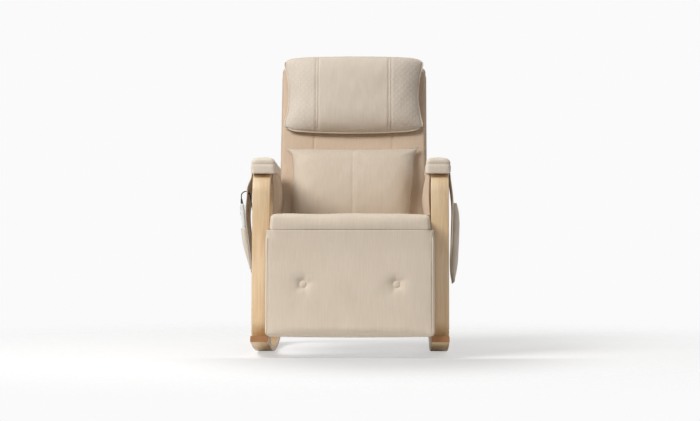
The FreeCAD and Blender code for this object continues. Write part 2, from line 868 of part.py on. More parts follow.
# Recline hinges outside the tubes.
eye = d.hinge_eye_radius + 2
fixed_points = [(d.recline_setback - 36, -half_tube), (d.recline_setback + 36, -half_tube)]
fixed_points += [
    (d.recline_setback + eye, d.recline_rise + eye),
    (d.recline_setback - eye, d.recline_rise + eye),
]
fixed_outline = corner_outline(fixed_points, (4, 4, eye * 0.85, eye * 0.85))
moving_points = [(-half_tube, -eye), (half_tube, -eye), (half_tube, 120), (-half_tube, 120)]
moving_outline = corner_outline(moving_points, (eye * 0.7, eye * 0.7, 6, 6))
fixed_leaves = []
moving_leaves = []
near = d.tube_outer_half
middle = near + d.hinge_plate + d.hinge_gap
far = middle + d.hinge_plate
for side_name, side in SIDES:
    start = near if side > 0 else -near - d.hinge_plate
    name = side_name + "_recline_moving"
    leaf = body(name + "_blank", moving_outline, "YZ_Plane", start, plate, back_place)
    bore = rod(name + "_bore", (start - 2, 0, 0), "x", pin_bore, "dims.hinge_plate + 4", back_place)
    moving_leaves.append(cut(name, leaf, [bore]))
    start = middle if side > 0 else -middle - d.hinge_plate
    name = side_name + "_recline_fixed"
    leaf = body(name + "_leaf", fixed_outline, "YZ_Plane", start, plate, seat_frame_place)
    low = near if side > 0 else -middle
    packing = box(
        name + "_packing",
        (low, d.recline_setback - 30, -10),
        (middle - near, 60, 20),
        seat_frame_place,
    )
    bore = rod(name + "_bore", (start - 2, 0, 0), "x", pin_bore, "dims.hinge_plate + 4", back_place)
    fixed_leaves.append(cut(name, fuse(name + "_blank", [leaf, packing]), [bore]))
    pins.append(hinge_pin(name + "_pin", back_place, side, near, far))
node("recline_hinge_fixed", group("recline_hinge_fixed", fixed_leaves))
node("recline_hinge_moving", group("recline_hinge_moving", moving_leaves))
node("hinge_pins", group("hinge_pins", pins))


def panel(name, half_width, bottom, top, corner, start, depth, rounding):
    """A rounded rectangular block across the back, from start towards the front."""
    points = [(-half_width, bottom), (half_width, bottom), (half_width, top), (-half_width, top)]
    outline = corner_outline(points, (corner,) * 4)
    return body(name, outline, "XZ_Plane", start, depth, back_place, rounding)


cushion_rear = half_tube + 1.5
blank = panel(
    "back_cushion_blank",
    d.back_half_width,
    d.back_bottom,
    d.back_top,
    24,
    f"{cushion_rear}",
    f"dims.back_front - {cushion_rear}",
    "dims.back_round",
)
channel = box(
    "back_channel",
    (-d.channel_half_width, -d.back_front - 5, d.channel_bottom),
    ("2 * dims.channel_half_width", "dims.back_front + 5", "dims.channel_top - dims.channel_bottom"),
    back_place,
)
node("back_cushion", cut("back_cushion", blank, [channel]))
massage_panel = box(
    "massage_panel",
    (room - d.channel_half_width, -d.back_front, d.channel_bottom + room),
    (
        "2 * dims.channel_half_width - 2 * dims.soft_gap",
        "dims.panel_thickness",
        "dims.channel_top - dims.channel_bottom - 2 * dims.soft_gap",
    ),
    back_place,
)
node("massage_panel", massage_panel)

cover_front = half_tube + d.glue_gap
cover_depth = f"dims.cover_rear - {cover_front}"
cover_outside = panel(
    "rear_cover_blank",
    d.cover_half_width,
    d.cover_bottom,
    d.back_tube_top,
    18,
    "-dims.cover_rear",
    cover_depth,
    None,
)
wall = d.cover_wall
points = [
    (wall - d.cover_half_width, d.cover_bottom + wall),
    (d.cover_half_width - wall, d.cover_bottom + wall),
    (d.cover_half_width - wall, d.back_tube_top - wall),
    (wall - d.cover_half_width, d.back_tube_top - wall),
]
cover_inside = body(
    "rear_cover_hollow",
    corner_outline(points, (18 - wall,) * 4),
    "XZ_Plane",
    "dims.cover_wall - dims.cover_rear",
    cover_depth,
    back_place,
)
node("back_rear_cover", cut("back_rear_cover", cover_outside, [cover_inside]))

# Massage drive: two guide rods, a lead screw and a carriage with two counter-geared discs.
rod_half = d.rod_spacing / 2
rail_low = d.back_cross_height + half_tube
rail_high = top_tube - half_tube
wide = "dims.bracket_width"
brackets = []
rods = []
for side_name, side in SIDES:
    for level, height in (("low", rail_low), ("high", rail_high - d.bracket_height)):
        name = f"{side_name}_{level}_bracket"
        corner = (side * rod_half - d.bracket_width / 2, d.rod_setback - d.bracket_width / 2, height)
        blank = box(name + "_blank", corner, (wide, wide, "dims.bracket_height"), back_place)
        base = (side * rod_half, d.rod_setback, height - 2)
        bore = rod(
            name + "_bore",
            base,
            "z",
            "dims.rod_radius + dims.running_fit",
            "dims.bracket_height + 4",
            back_place,
        )
        brackets.append(cut(name, blank, [bore]))
    base = (side * rod_half, d.rod_setback, rail_low + 2)
    rods.append(
        rod(side_name + "_guide_rod", base, "z", "dims.rod_radius", rail_high - rail_low - 4, back_place),
    )
name = "screw_bracket"
corner = (
    d.screw_offset - d.bracket_width / 2,
    d.rod_setback - d.bracket_width / 2,
    rail_high - d.bracket_height,
)
blank = box(name + "_blank", corner, (wide, wide, "dims.bracket_height"), back_place)
base = (d.screw_offset, d.rod_setback, rail_high - d.bracket_height - 2)
journal_bore = "dims.journal_radius + dims.running_fit"
bore = rod(name + "_bore", base, "z", journal_bore, "dims.bracket_height - 2", back_place)
brackets.append(cut(name, blank, [bore]))
node("back_frame", fuse("back_frame", [back_tube_frame] + brackets))
node("guide_rods", group("guide_rods", rods))

motor_top = rail_low + d.lift_motor_length
base = (d.screw_offset, d.rod_setback, rail_low)
blank = rod("lift_motor_blank", base, "z", "dims.lift_motor_radius", "dims.lift_motor_length", back_place)
base = (d.screw_offset, d.rod_setback, motor_top - 15)
bore = rod("lift_motor_bore", base, "z", journal_bore, 20, back_place)
node("lift_motor", cut("lift_motor", blank, [bore]))

screw_low = motor_top + 4
screw_high = rail_high - d.bracket_height - 1
base = (d.screw_offset, d.rod_setback, screw_low)
lead = rod("lead_screw_thread", base, "z", "dims.lead_radius", screw_high - screw_low, back_place)
base = (d.screw_offset, d.rod_setback, motor_top - 13)
journal_length = screw_high - motor_top + 13 + d.bracket_height - 6
journal = rod("lead_screw_journal", base, "z", "dims.journal_radius", journal_length, back_place)
node("lead_screw", fuse("lead_screw", [lead, journal]))

carriage_place = back_place.multiply(Placement(Vector(0, 0, d.carriage_rest), Rotation()))
plate_front = -10
plate_rear = plate_front + d.carriage_plate
disc_half = d.gear_module * (d.pinion_teeth + d.disc_teeth) / 2
gear_front = plate_front - 3 - d.gear_width
pieces = [
    box(
        "carriage_plate",
        (-d.carriage_half_width, plate_front, -d.carriage_half_height),
        ("2 * dims.carriage_half_width", "dims.carriage_plate", "2 * dims.carriage_half_height"),
        carriage_place,
    )
]
bores = []
boss = d.bracket_width
for side_name, side in SIDES:
    for low in (28, -58):
        corner = (side * rod_half - boss / 2, plate_rear, low)
        sizes = (wide, d.rod_setback + boss / 2 - plate_rear, 30)
        pieces.append(box(f"{side_name}_bush_{low + 58}", corner, sizes, carriage_place))
    base = (side * rod_half, d.rod_setback, -d.carriage_half_height - 5)
    bore_radius = "dims.rod_radius + 2 * dims.running_fit"
    bores.append(
        rod(
            side_name + "_bush_bore",
            base,
            "z",
            bore_radius,
            "2 * dims.carriage_half_height + 10",
            carriage_place,
        ),
    )
    base = (side * disc_half, gear_front + 1, 0)
    pieces.append(rod(side_name + "_stub", base, "y", 6, plate_front - gear_front - 1, carriage_place))
corner = (d.screw_offset - boss / 2, plate_rear, -15)
pieces.append(box("lead_nut", corner, (wide, d.rod_setback + boss / 2 - plate_rear, 30), carriage_place))
base = (d.screw_offset, d.rod_setback, -d.carriage_half_height)
nut_bore = "dims.lead_radius + 2 * dims.running_fit"
bores.append(rod("lead_nut_bore", base, "z", nut_bore, "2 * dims.carriage_half_height", carriage_place))
bores.append(
    rod(
        "pinion_hole",
        (0, plate_front - 2, 0),
        "y",
        "dims.journal_radius + 1",
        "dims.carriage_plate + 4",
        carriage_place,
    ),
)
node("carriage", cut("carriage", fuse("carriage_blank", pieces), [fuse("carriage_bores", bores)]))

blank = rod(
    "roller_motor_blank",
    (0, plate_rear, 0),
    "y",
    "dims.roller_motor_radius",
    "dims.roller_motor_length",
    carriage_place,
)
bore = rod("roller_motor_bore", (0, plate_rear - 1, 0), "y", journal_bore, 22, carriage_place)
node("roller_motor", cut("roller_motor", blank, [bore]))


def gear_shape(teeth, bore, phase):
    """An involute spur gear in the XZ plane, from y = 0 to the gear width, turned by a phase in degrees."""
    module = d.gear_module
    pitch = module * teeth / 2
    base_radius = pitch * cosd(20)
    tip = pitch + module
    root = pitch - 1.25 * module
    low = max(root, base_radius)
    roll = math.tan(math.radians(20)) - math.radians(20)
    half_tooth = math.pi / (2 * teeth) - d.gear_backlash / (2 * pitch)

    def flank_angle(radius):
        pressure = math.acos(min(1, base_radius / radius))
        return half_tooth + roll - math.tan(pressure) + pressure

    def at(radius, angle):
        return Vector(radius * math.cos(angle), 0, radius * math.sin(angle))

    radii = [low + (tip - low) * k / 5 for k in range(6)]
    edges = []
    for i in range(teeth):
        middle = math.radians(phase) + 2 * math.pi * i / teeth
        following = middle + 2 * math.pi / teeth
        rising = Part.BSplineCurve()
        rising.interpolate([at(r, middle - flank_angle(r)) for r in radii])
        falling = Part.BSplineCurve()
        falling.interpolate([at(r, middle + flank_angle(r)) for r in radii[::-1]])
        start = middle - flank_angle(low)
        stop = middle + flank_angle(low)
        ahead = following - flank_angle(low)
        if root < low - 1e-6:
            edges.append(Part.LineSegment(at(root, start), at(low, start)).toShape())
            edges.append(Part.LineSegment(at(low, stop), at(root, stop)).toShape())
        edges.append(rising.toShape())
        tip_turn = flank_angle(tip)
        edges.append(
            Part.Arc(at(tip, middle - tip_turn), at(tip, middle), at(tip, middle + tip_turn)).toShape(),
        )
        edges.append(falling.toShape())
        valley = low if root >= low else root
        middle_root = at(root, (stop + ahead) / 2)
        edges.append(Part.Arc(at(valley, stop), middle_root, at(root, ahead)).toShape())
    face = Part.Face(Part.Wire(Part.sortEdges(edges)[0]))
    shape = face.extrude(Vector(0, d.gear_width, 0))
    if bore:
        shape = shape.cut(Part.makeCylinder(bore, d.gear_width + 2, Vector(0, -1, 0), Y_AXIS))
    return shape


pinion_blank = gear_shape(int(d.pinion_teeth), 0, 0)
shaft = Part.makeCylinder(d.journal_radius, plate_rear - gear_front + 20, Vector(0, 0, 0), Y_AXIS)
pinion_place = carriage_place.multiply(Placement(Vector(0, gear_front, 0), Rotation()))
node("drive_pinion", solid("drive_pinion", pinion_blank.fuse(shaft).removeSplitter(), pinion_place))
half_pitch = 180 / d.disc_teeth
head_front = gear_front - d.head_disc_thickness
for side_name, side in SIDES:
    place = carriage_place.multiply(Placement(Vector(side * disc_half, gear_front, 0), Rotation()))
    shape = gear_shape(int(d.disc_teeth), 6 + d.running_fit, half_pitch)
    node(side_name + "_disc_gear", solid(side_name + "_disc_gear", shape, place))
    place = carriage_place.multiply(Placement(Vector(side * disc_half, 0, 0), Rotation()))
    name = side_name + "_massage_heads"
    parts = [
        rod(
            name + "_disc",
            (0, head_front, 0),
            "y",
            "dims.head_disc_radius",
            "dims.head_disc_thickness",
            place,
        ),
    ]
    for k, way in enumerate((-1, 1)):
        rise = way * d.head_offset
        base = (0, head_front - d.head_reach, rise)
        parts.append(rod(f"{name}_stem_{k}", base, "y", "dims.head_radius - 3", "dims.head_reach", place))
        ball = doc.addObject("Part::Sphere", f"{name}_ball_{k}")
        bind(ball, "Radius", "dims.head_radius")
        ball.Placement = place.multiply(Placement(Vector(*base), Rotation()))
        parts.append(ball)
    node(name, fuse(name, parts))

# Pillows on the back, and the flap that holds the head pillow over the top edge.
flap_gap = d.soft_gap
pillow_rear = d.back_front + d.flap_thickness + 2 * flap_gap
head_pillow = panel(
    "head_pillow",
    d.pillow_half_width,
    d.pillow_bottom,
    d.pillow_top,
    d.pillow_corner,
    f"{pillow_rear}",
    "dims.pillow_thickness",
    "dims.pillow_round",
)
node("head_pillow", head_pillow)
flap_front = -d.back_front - flap_gap
flap_rear = d.cover_rear + flap_gap
flap_top = d.back_top + flap_gap
over = d.flap_thickness
flap_low = flap_top - d.flap_drop
flap_points = [
    (flap_front, flap_low),
    (flap_front, flap_top),
    (flap_rear, flap_top),
    (flap_rear, flap_low),
    (flap_rear + over, flap_low),
    (flap_rear + over, flap_top + over),
    (flap_front - over, flap_top + over),
    (flap_front - over, flap_low),
]
pillow_flap = body(
    "head_pillow_flap",
    corner_outline(flap_points, (0, 3, 3, 0, 0, 6, 6, 0)),
    "YZ_Plane",
    "-dims.flap_half_width",
    "2 * dims.flap_half_width",
    back_place,
)
node("head_pillow_flap", pillow_flap)
lumbar_rear = -d.back_front - flap_gap
ends = (Vector(lumbar_rear - 6, d.lumbar_bottom, 0), Vector(lumbar_rear - 6, d.lumbar_top, 0))
backs = (Vector(lumbar_rear, d.lumbar_bottom + 6, 0), Vector(lumbar_rear, d.lumbar_top - 6, 0))
lumbar_outline = [
    Part.Arc(ends[1], Vector(lumbar_rear - d.lumbar_depth, (d.lumbar_bottom + d.lumbar_top) / 2, 0), ends[0]),
    Part.LineSegment(ends[0], backs[0]),
    Part.LineSegment(backs[0], backs[1]),
    Part.LineSegment(backs[1], ends[1]),
]
lumbar = body(
    "lumbar_pillow",
    lumbar_outline,
    "YZ_Plane",
    "-dims.lumbar_half_width",
    "2 * dims.lumbar_half_width",
    back_place,
)
node("lumbar_pillow", lumbar)

# Arm pads, their inner flaps and snaps, and the outer flaps with pockets, in the arm's own frame.
pad_base = half_strip + d.glue_gap
snaps = []
for side_name, side in SIDES:
    name = side_name + "_arm_pad"
    low = "dims.pad_inner" if side > 0 else "-dims.pad_outer"
    points = [(-d.pad_front, pad_base), (d.pad_rear, pad_base)]
    points += [(d.pad_rear, pad_base + d.pad_thickness), (-d.pad_front, pad_base + d.pad_thickness)]
    outline = corner_outline(points, (2, 2, d.pad_round, d.pad_round))
    node(name, body(name, outline, "YZ_Plane", low, "dims.pad_outer - dims.pad_inner", arm_frame))
    inner = d.inner_flap_offset
    low = inner if side > 0 else -inner - d.inner_flap_thickness
    flap = box(
        side_name + "_inner_flap",
        (low, d.inner_flap_front, half_strip - d.inner_flap_drop),
        ("dims.inner_flap_thickness", "dims.inner_flap_rear - dims.inner_flap_front", "dims.inner_flap_drop"),
        arm_frame,
    )
    node(side_name + "_inner_flap", flap)
    for k, (back, rise) in enumerate(((d.inner_flap_rear - 14, -6), (d.inner_flap_rear - 210, -96))):
        start = inner - d.snap_height
        moved = arm_frame.multiply(Placement(Vector(0, back, rise), Rotation()))
        snaps.append(along_x(moved, side, start, inner, f"{side_name}_snap_{k}", "dims.snap_radius"))
node("flap_snaps", group("flap_snaps", snaps))


def drape_outline(side, line, thickness):
    """A hanging cloth section: the inner line, and the same line one thickness further out."""
    points = [(side * across, rise) for across, rise in line]
    points += [(side * (across + thickness), rise) for across, rise in line[::-1]]
    radii = [0] + [25] * (len(line) - 2) + [0, 0] + [25] * (len(line) - 2) + [0]
    return corner_outline(points, radii)


cloth = d.flap_thickness
# Each flap's inner line: how far it hangs outside the side frame, and its height.
flap_lines = {
    "right": (
        (5, 10),
        (6, -6),
        (21, -34),
        (21, -66),
        (25, -100),
        (25.5, -126),
        (23.5, -158),
        (19, -190),
        (13, -232),
        (8, -272),
        (6, -316),
    ),
    "left": (
        (4, 10),
        (5, -8),
        (10, -40),
        (14, -78),
        (15, -110),
        (14, -150),
        (12, -205),
        (9, -270),
        (10.5, -315),
        (17, -348),
    ),
}
# Each pocket's outer line, measured the same way, from its open top to where its bottom meets the flap.
pocket_lines = {
    "right": ((43.8, -170), (39.5, -213), (31, -248), (21, -280), (13, -304)),
    "left": ((28, -88), (36, -112), (38.5, -150), (36, -220), (32.5, -285), (27, -318), (20.5, -345)),
}
for lines in (flap_lines, pocket_lines):
    for side_name, line in lines.items():
        lines[side_name] = [(d.outer_half_width + out, rise) for out, rise in line]
eyelet_height = -49
pocket_names = {"right": "remote_pocket", "left": "magazine_pocket"}


def line_at(line, rise):
    """How far out a hanging line is at a height."""
    for (out_a, rise_a), (out_b, rise_b) in zip(line, line[1:]):
        if rise_b <= rise <= rise_a:
            return out_a + (out_b - out_a) * (rise_a - rise) / (rise_a - rise_b)
    return line[-1][0]


for side_name, side in SIDES:
    line = flap_lines[side_name]
    name = side_name + "_outer_flap"
    rear_end_cell = "-dims.outer_flap_front - dims.outer_flap_length"
    flap = body(
        name + "_blank",
        drape_outline(side, line, cloth),
        "XZ_Plane",
        rear_end_cell,
        "dims.outer_flap_length",
        arm_frame,
    )
    if side_name == "right":
        out = line_at(line, eyelet_height)
        base = (side * (out + 6) - 6, d.remote_middle, eyelet_height)
        hole = rod("eyelet_hole", base, "x", "dims.eyelet_radius + 0.2", 16, arm_frame)
        node(name, cut(name, flap, [hole]))
        bore = rod("eyelet_bore_room", base, "x", "dims.eyelet_bore", 16, arm_frame)
        sleeve = along_x(
            arm_frame.multiply(Placement(Vector(0, d.remote_middle, eyelet_height), Rotation())),
            side,
            out - 0.8,
            out + cloth + 0.8,
            "eyelet_sleeve",
            "dims.eyelet_radius",
        )
        rim = along_x(
            arm_frame.multiply(Placement(Vector(0, d.remote_middle, eyelet_height), Rotation())),
            side,
            out + cloth + 0.2,
            out + cloth + 1.4,
            "eyelet_rim",
            "dims.eyelet_rim_radius",
        )
        node("cord_eyelet", cut("cord_eyelet", fuse("cord_eyelet_blank", [sleeve, rim]), [bore]))
    else:
        node(name, flap)
    outer_line = pocket_lines[side_name]
    top = outer_line[0][1]
    bottom = outer_line[-1][1]
    heights = [top] + [rise for out, rise in line if bottom < rise < top] + [bottom]
    against = [(line_at(line, rise) + cloth + room, rise) for rise in heights]
    points = [(side * out, rise) for out, rise in outer_line]
    points += [(side * out, rise) for out, rise in against[::-1]]
    radii = [0] + [14] * (len(outer_line) - 2) + [0] * (len(against) + 1)
    pocket = pocket_names[side_name]
    blank = body(
        pocket + "_blank",
        corner_outline(points, radii),
        "XZ_Plane",
        f"-dims.{pocket}_front - dims.{pocket}_length",
        f"dims.{pocket}_length",
        arm_frame,
    )
    thin = d.pocket_wall
    hollow = [(side * (out - thin), rise) for out, rise in outer_line[:-1]]
    hollow.insert(0, (side * (outer_line[0][0] - thin), top + 20))
    floor = bottom + 3 * thin
    hollow.append((side * (outer_line[-1][0] + 1), floor))
    inner_heights = [rise for rise in heights if rise > floor]
    inside = [(line_at(line, rise) + cloth - 3, rise) for rise in inner_heights]
    inside[0] = (inside[0][0], top + 20)
    lowest = (line_at(line, floor) + cloth - 3, floor)
    hollow += [(side * out, rise) for out, rise in [lowest] + inside[::-1]]
    cavity = body(
        pocket + "_cavity",
        corner_outline(hollow, (0,) * len(hollow)),
        "XZ_Plane",
        f"-dims.{pocket}_front - dims.{pocket}_length + dims.pocket_wall",
        f"dims.{pocket}_length - 2 * dims.pocket_wall",
        arm_frame,
    )
    node(pocket, cut(pocket, blank, [cavity]))

# Remote control in the right pocket, in its own frame: X points outwards from the chair, Z along its length.
remote_foot = Vector(-d.remote_foot_offset, d.remote_middle, -d.remote_foot_drop)
outward = Rotation(Vector(0, 0, 1), 180)
remote_place = arm_frame.multiply(Placement(remote_foot, Rotation(Y_AXIS, -d.remote_tilt).multiply(outward)))
points = [(0, -d.remote_width / 2), (d.remote_thickness, -d.remote_width / 2)]
points += [(d.remote_thickness, d.remote_width / 2), (0, d.remote_width / 2)]
remote_blank = body(
    "remote_housing_blank",
    corner_outline(points, (6, 6, 6, 6)),
    "XY_Plane",
    0.0,
    "dims.remote_length",
    remote_place,
    "dims.remote_round",
)
key_spots = {
    "remote_power_key": (0, 110),
    "remote_up_key": (-9, 93),
    "remote_down_key": (9, 93),
    "remote_heat_key": (0, 76),
}
key_floor = d.remote_thickness + d.key_proud - d.key_height
wells = []
for name, (across, rise) in key_spots.items():
    base = (key_floor, across, rise)
    node(name, rod(name, base, "x", "dims.key_radius", "dims.key_height", remote_place))
    base = (key_floor - 1.2, across, rise)
    wells.append(
        rod(
            name + "_well",
            base,
            "x",
            "dims.key_radius + dims.key_clearance",
            "dims.remote_thickness",
            remote_place,
        ),
    )
node("remote_housing", cut("remote_housing", remote_blank, wells))
relief = doc.addObject("Part::Cone", "remote_strain_relief")
bind(relief, "Radius1", "dims.relief_base_radius")
bind(relief, "Radius2", "dims.relief_tip_radius")
bind(relief, "Height", "dims.relief_length")
relief.Placement = remote_place.multiply(
    Placement(Vector(d.remote_thickness / 2, 0, d.remote_length), Rotation()),
)
node("remote_strain_relief", relief)

# Control box under the seat's middle tube, with its lid, circuit, power inlet and cord gland.
box_low = -half_tube - d.box_height
shell = box(
    "control_box_blank",
    (d.box_left, d.box_front, box_low),
    ("dims.box_length", "dims.box_width", "dims.box_height"),
    seat_frame_place,
)
hollow = box(
    "control_box_hollow",
    (d.box_left + d.box_wall, d.box_front + d.box_wall, box_low - d.box_wall),
    ("dims.box_length - 2 * dims.box_wall", "dims.box_width - 2 * dims.box_wall", "dims.box_height"),
    seat_frame_place,
)
inlet_at = (d.box_left + d.box_length / 2, d.box_front + d.box_width, -half_tube - d.box_height / 2)
inlet_hole = rod(
    "inlet_hole",
    (inlet_at[0], inlet_at[1] - 6, inlet_at[2]),
    "y",
    "dims.inlet_radius + 0.1",
    12,
    seat_frame_place,
)
gland_at = (d.box_left, d.box_front + d.box_width / 2, -half_tube - d.box_height / 2)
gland_hole = rod(
    "gland_hole",
    (gland_at[0] - 6, gland_at[1], gland_at[2]),
    "x",
    "dims.gland_radius + 0.1",
    12,
    seat_frame_place,
)
node("control_box", cut("control_box", shell, [fuse("control_box_rooms", [hollow, inlet_hole, gland_hole])]))
lid = box(
    "control_box_lid",
    (d.box_left, d.box_front, box_low - d.box_cover),
    ("dims.box_length", "dims.box_width", "dims.box_cover"),
    seat_frame_place,
)
node("control_box_lid", lid)
circuit = box(
    "control_circuit",
    (d.box_left + 12, d.box_front + 20, -half_tube - d.box_wall - d.circuit_thickness),
    ("dims.box_length - 24", "dims.box_width - 40", "dims.circuit_thickness"),
    seat_frame_place,
)
node("control_circuit", circuit)
blank = rod(
    "inlet_blank",
    (inlet_at[0], inlet_at[1] - 12, inlet_at[2]),
    "y",
    "dims.inlet_radius",
    "dims.inlet_length",
    seat_frame_place,
)
bore = rod(
    "inlet_bore_room",
    (inlet_at[0], inlet_at[1] - 9, inlet_at[2]),
    "y",
    "dims.inlet_bore",
    "dims.inlet_length",
    seat_frame_place,
)
pin = rod(
    "inlet_pin",
    (inlet_at[0], inlet_at[1] - 10, inlet_at[2]),
    "y",
    "dims.inlet_pin",
    10,
    seat_frame_place,
)
node("power_inlet", fuse("power_inlet", [cut("inlet_sleeve", blank, [bore]), pin]))
gland_tip = gland_at[0] - d.gland_length + 5
blank = rod(
    "gland_blank",
    (gland_tip, gland_at[1], gland_at[2]),
    "x",
    "dims.gland_radius",
    "dims.gland_length",
    seat_frame_place,
)
node("cord_gland", blank)


def route_tube(points, radius):
    """A round cord along straight runs joined by tangent arcs."""
    edges = []
    bends = []
    last = points[0]
    for before, point, after in zip(points, points[1:], points[2:]):
        back = before - point
        ahead = after - point
        turn = math.pi - back.getAngle(ahead)
        run = 0.45 * min(back.Length, ahead.Length)
        bend = run / math.tan(turn / 2)
        bends.append(bend)
        back.normalize()
        ahead.normalize()
        start = point + back * run
        stop = point + ahead * run
        middle = point + (back + ahead).normalize() * (bend / math.cos(turn / 2) - bend)
        edges.append(Part.LineSegment(last, start).toShape())
        edges.append(Part.Arc(start, middle, stop).toShape())
        last = stop
    edges.append(Part.LineSegment(last, points[-1]).toShape())
    spine = Part.Wire(edges)
    section = Part.Wire(Part.Circle(points[0], points[1] - points[0], radius).toShape())
    shape = spine.makePipeShell([section], True, False)
    print("cord length", round(spine.Length, 1), "smallest bend", round(min(bends), 1))
    print("cord volume share", round(shape.Volume / (math.pi * radius**2 * spine.Length), 4))
    return shape


# Cord: from the remote over a loop, through the eyelet, and in a hanging bight under the seat to the gland.
tip = remote_place.multVec(Vector(d.remote_thickness / 2, 0, d.remote_length + d.relief_length + 0.4))
rise = remote_place.multVec(Vector(d.remote_thickness / 2, 0, d.remote_length + d.relief_length + 12.4))
eyelet = arm_frame.multVec(Vector(-flap_lines["right"][2][0] - cloth / 2, d.remote_middle, eyelet_height))
gland = seat_frame_place.multVec(Vector(gland_tip - 0.3, gland_at[1], gland_at[2]))
route = [
    tip,
    rise,
    Vector(rise.x + 6.5, eyelet.y, rise.z + 8.9),
    Vector(eyelet.x - 6, eyelet.y, eyelet.z + 3.5),
    Vector(eyelet.x + 4.4, eyelet.y, eyelet.z - 2.5),
    Vector(eyelet.x + 9, eyelet.y + 1, eyelet.z - 16),
    Vector(-331, eyelet.y + 3, eyelet.z - 40),
    Vector(-326, eyelet.y + 7, eyelet.z - 76),
    Vector(-318, eyelet.y + 13, eyelet.z - 122),
    Vector(-306, eyelet.y + 20, eyelet.z - 172),
    Vector(-288, eyelet.y + 28, eyelet.z - 220),
    Vector(-260, eyelet.y + 35, eyelet.z - 264),
    Vector(-218, eyelet.y + 41, eyelet.z - 298),
    Vector(-166, eyelet.y + 45, eyelet.z - 314),
    Vector(-112, eyelet.y + 47, eyelet.z - 306),
    Vector(-66, gland.y - 2, eyelet.z - 278),
    Vector(gland.x - 38, gland.y - 1, gland.z - 20),
    Vector(gland.x - 14, gland.y, gland.z - 1.5),
    gland,
]
node("remote_cord", solid("remote_cord", route_tube(route, d.cord_radius)))

doc.recompute()
os.makedirs("parts", exist_ok=True)
for item in doc.Objects:
    if "Invalid" in item.State or "Error" in item.State:
        raise RuntimeError(f"{item.Label} is not built: {item.State}")
for name, item in nodes.items():
    shape = item.Shape
    if shape.isNull() or not shape.isValid():
        raise RuntimeError(f"{name} has no valid shape")
    if item.Label != name:
        raise RuntimeError(f"{name} is labelled {item.Label}")
    shape.exportStep(f"parts/{name}.step")
print(len(nodes), "nodes")
print("footrest pivot", footrest_pivot, "recline pivot", recline_pivot, "arm start", arm_start)
print("seat frame", seat_frame_place.Base, "runs", leg_run, arm_run, rear_run, seat_run)
print("remote foot", remote_place.Base, "remote axis", remote_place.Rotation.multVec(Vector(0, 0, 1)))
print("remote outward", remote_place.Rotation.multVec(X_AXIS), "eyelet", eyelet, "gland", gland)
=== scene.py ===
import math

import bmesh
import bpy
import numpy as np
from mathutils import Matrix, Vector
from mathutils.bvhtree import BVHTree


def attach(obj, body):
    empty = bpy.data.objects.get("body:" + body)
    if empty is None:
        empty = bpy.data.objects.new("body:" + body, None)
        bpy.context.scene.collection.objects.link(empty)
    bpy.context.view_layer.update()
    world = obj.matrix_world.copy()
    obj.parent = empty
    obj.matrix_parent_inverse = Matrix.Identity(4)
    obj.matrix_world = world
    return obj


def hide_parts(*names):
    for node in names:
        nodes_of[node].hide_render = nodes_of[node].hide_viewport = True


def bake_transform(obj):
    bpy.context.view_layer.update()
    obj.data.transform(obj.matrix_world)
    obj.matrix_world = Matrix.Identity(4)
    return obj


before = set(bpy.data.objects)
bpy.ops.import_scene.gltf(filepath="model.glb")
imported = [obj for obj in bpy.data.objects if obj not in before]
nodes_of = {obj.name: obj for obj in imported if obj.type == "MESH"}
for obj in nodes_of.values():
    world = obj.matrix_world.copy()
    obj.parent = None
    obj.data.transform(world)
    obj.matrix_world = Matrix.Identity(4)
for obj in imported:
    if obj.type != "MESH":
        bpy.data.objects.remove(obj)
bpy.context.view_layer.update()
scene = bpy.context.scene


def add_object(name, data):
    piece = bpy.data.objects.new(name, data)
    scene.collection.objects.link(piece)
    return piece


# Camera, at the photograph's place: in front, nearly level, a little to the sitter's left.
camera_data = bpy.data.cameras.new("camera")
camera_data.sensor_width = 36
camera_data.lens = 118.7
camera = add_object("camera", camera_data)
camera.location = (0.157, -7.862, 0.475)
camera.rotation_euler = (math.radians(90), 0, math.radians(1.21))
scene.camera = camera
scene.view_settings.view_transform = "Standard"


# Local frames of the CAD: Z leans back by the angle, Y points to the rear.
def tilted(y, z, degrees):
    return Matrix.Translation((0, y, z)) @ Matrix.Rotation(-math.radians(degrees), 4, "X")


BACK_LEAN = 22
SEAT_LEAN = 9.9
LEG_LEAN = 8.2
ARM_LEAN = 3
REAR_LEG_LEAN = 10
BACK = tilted(0.0852645, 0.3339618, BACK_LEAN)
SEAT = tilted(-0.3657715, 0.367, SEAT_LEAN)
REST = tilted(-0.4115894, 0.3715609, LEG_LEAN)
ARM = tilted(-0.2742035, 0.5880137, ARM_LEAN)
SIDES = (("right", -1), ("left", 1))


def mesh_object(name, verts, faces, edges=()):
    mesh = bpy.data.meshes.new(name)
    mesh.from_pydata([tuple(v) for v in verts], list(edges), [tuple(f) for f in faces])
    mesh.update()
    return add_object(name, mesh)


def object_from(form, name):
    """A piece from a finished bmesh, which is freed."""
    mesh = bpy.data.meshes.new(name)
    form.to_mesh(mesh)
    form.free()
    return add_object(name, mesh)


def face_outwards(piece):
    form = bmesh.new()
    form.from_mesh(piece.data)
    bmesh.ops.recalc_face_normals(form, faces=form.faces)
    form.to_mesh(piece.data)
    form.free()


def smooth_faces(piece):
    for face in piece.data.polygons:
        face.use_smooth = True


def read_points(mesh, field="co"):
    flat = np.empty(len(mesh.vertices) * 3)
    mesh.vertices.foreach_get(field, flat)
    return flat.reshape(-1, 3)


def write_points(mesh, points):
    mesh.vertices.foreach_set("co", points.ravel())
    mesh.update()


def apply_modifiers(piece):
    graph = bpy.context.evaluated_depsgraph_get()
    made = bpy.data.meshes.new_from_object(piece.evaluated_get(graph))
    piece.modifiers.clear()
    old = piece.data
    piece.data = made
    bpy.data.meshes.remove(old)
    made.name = piece.name


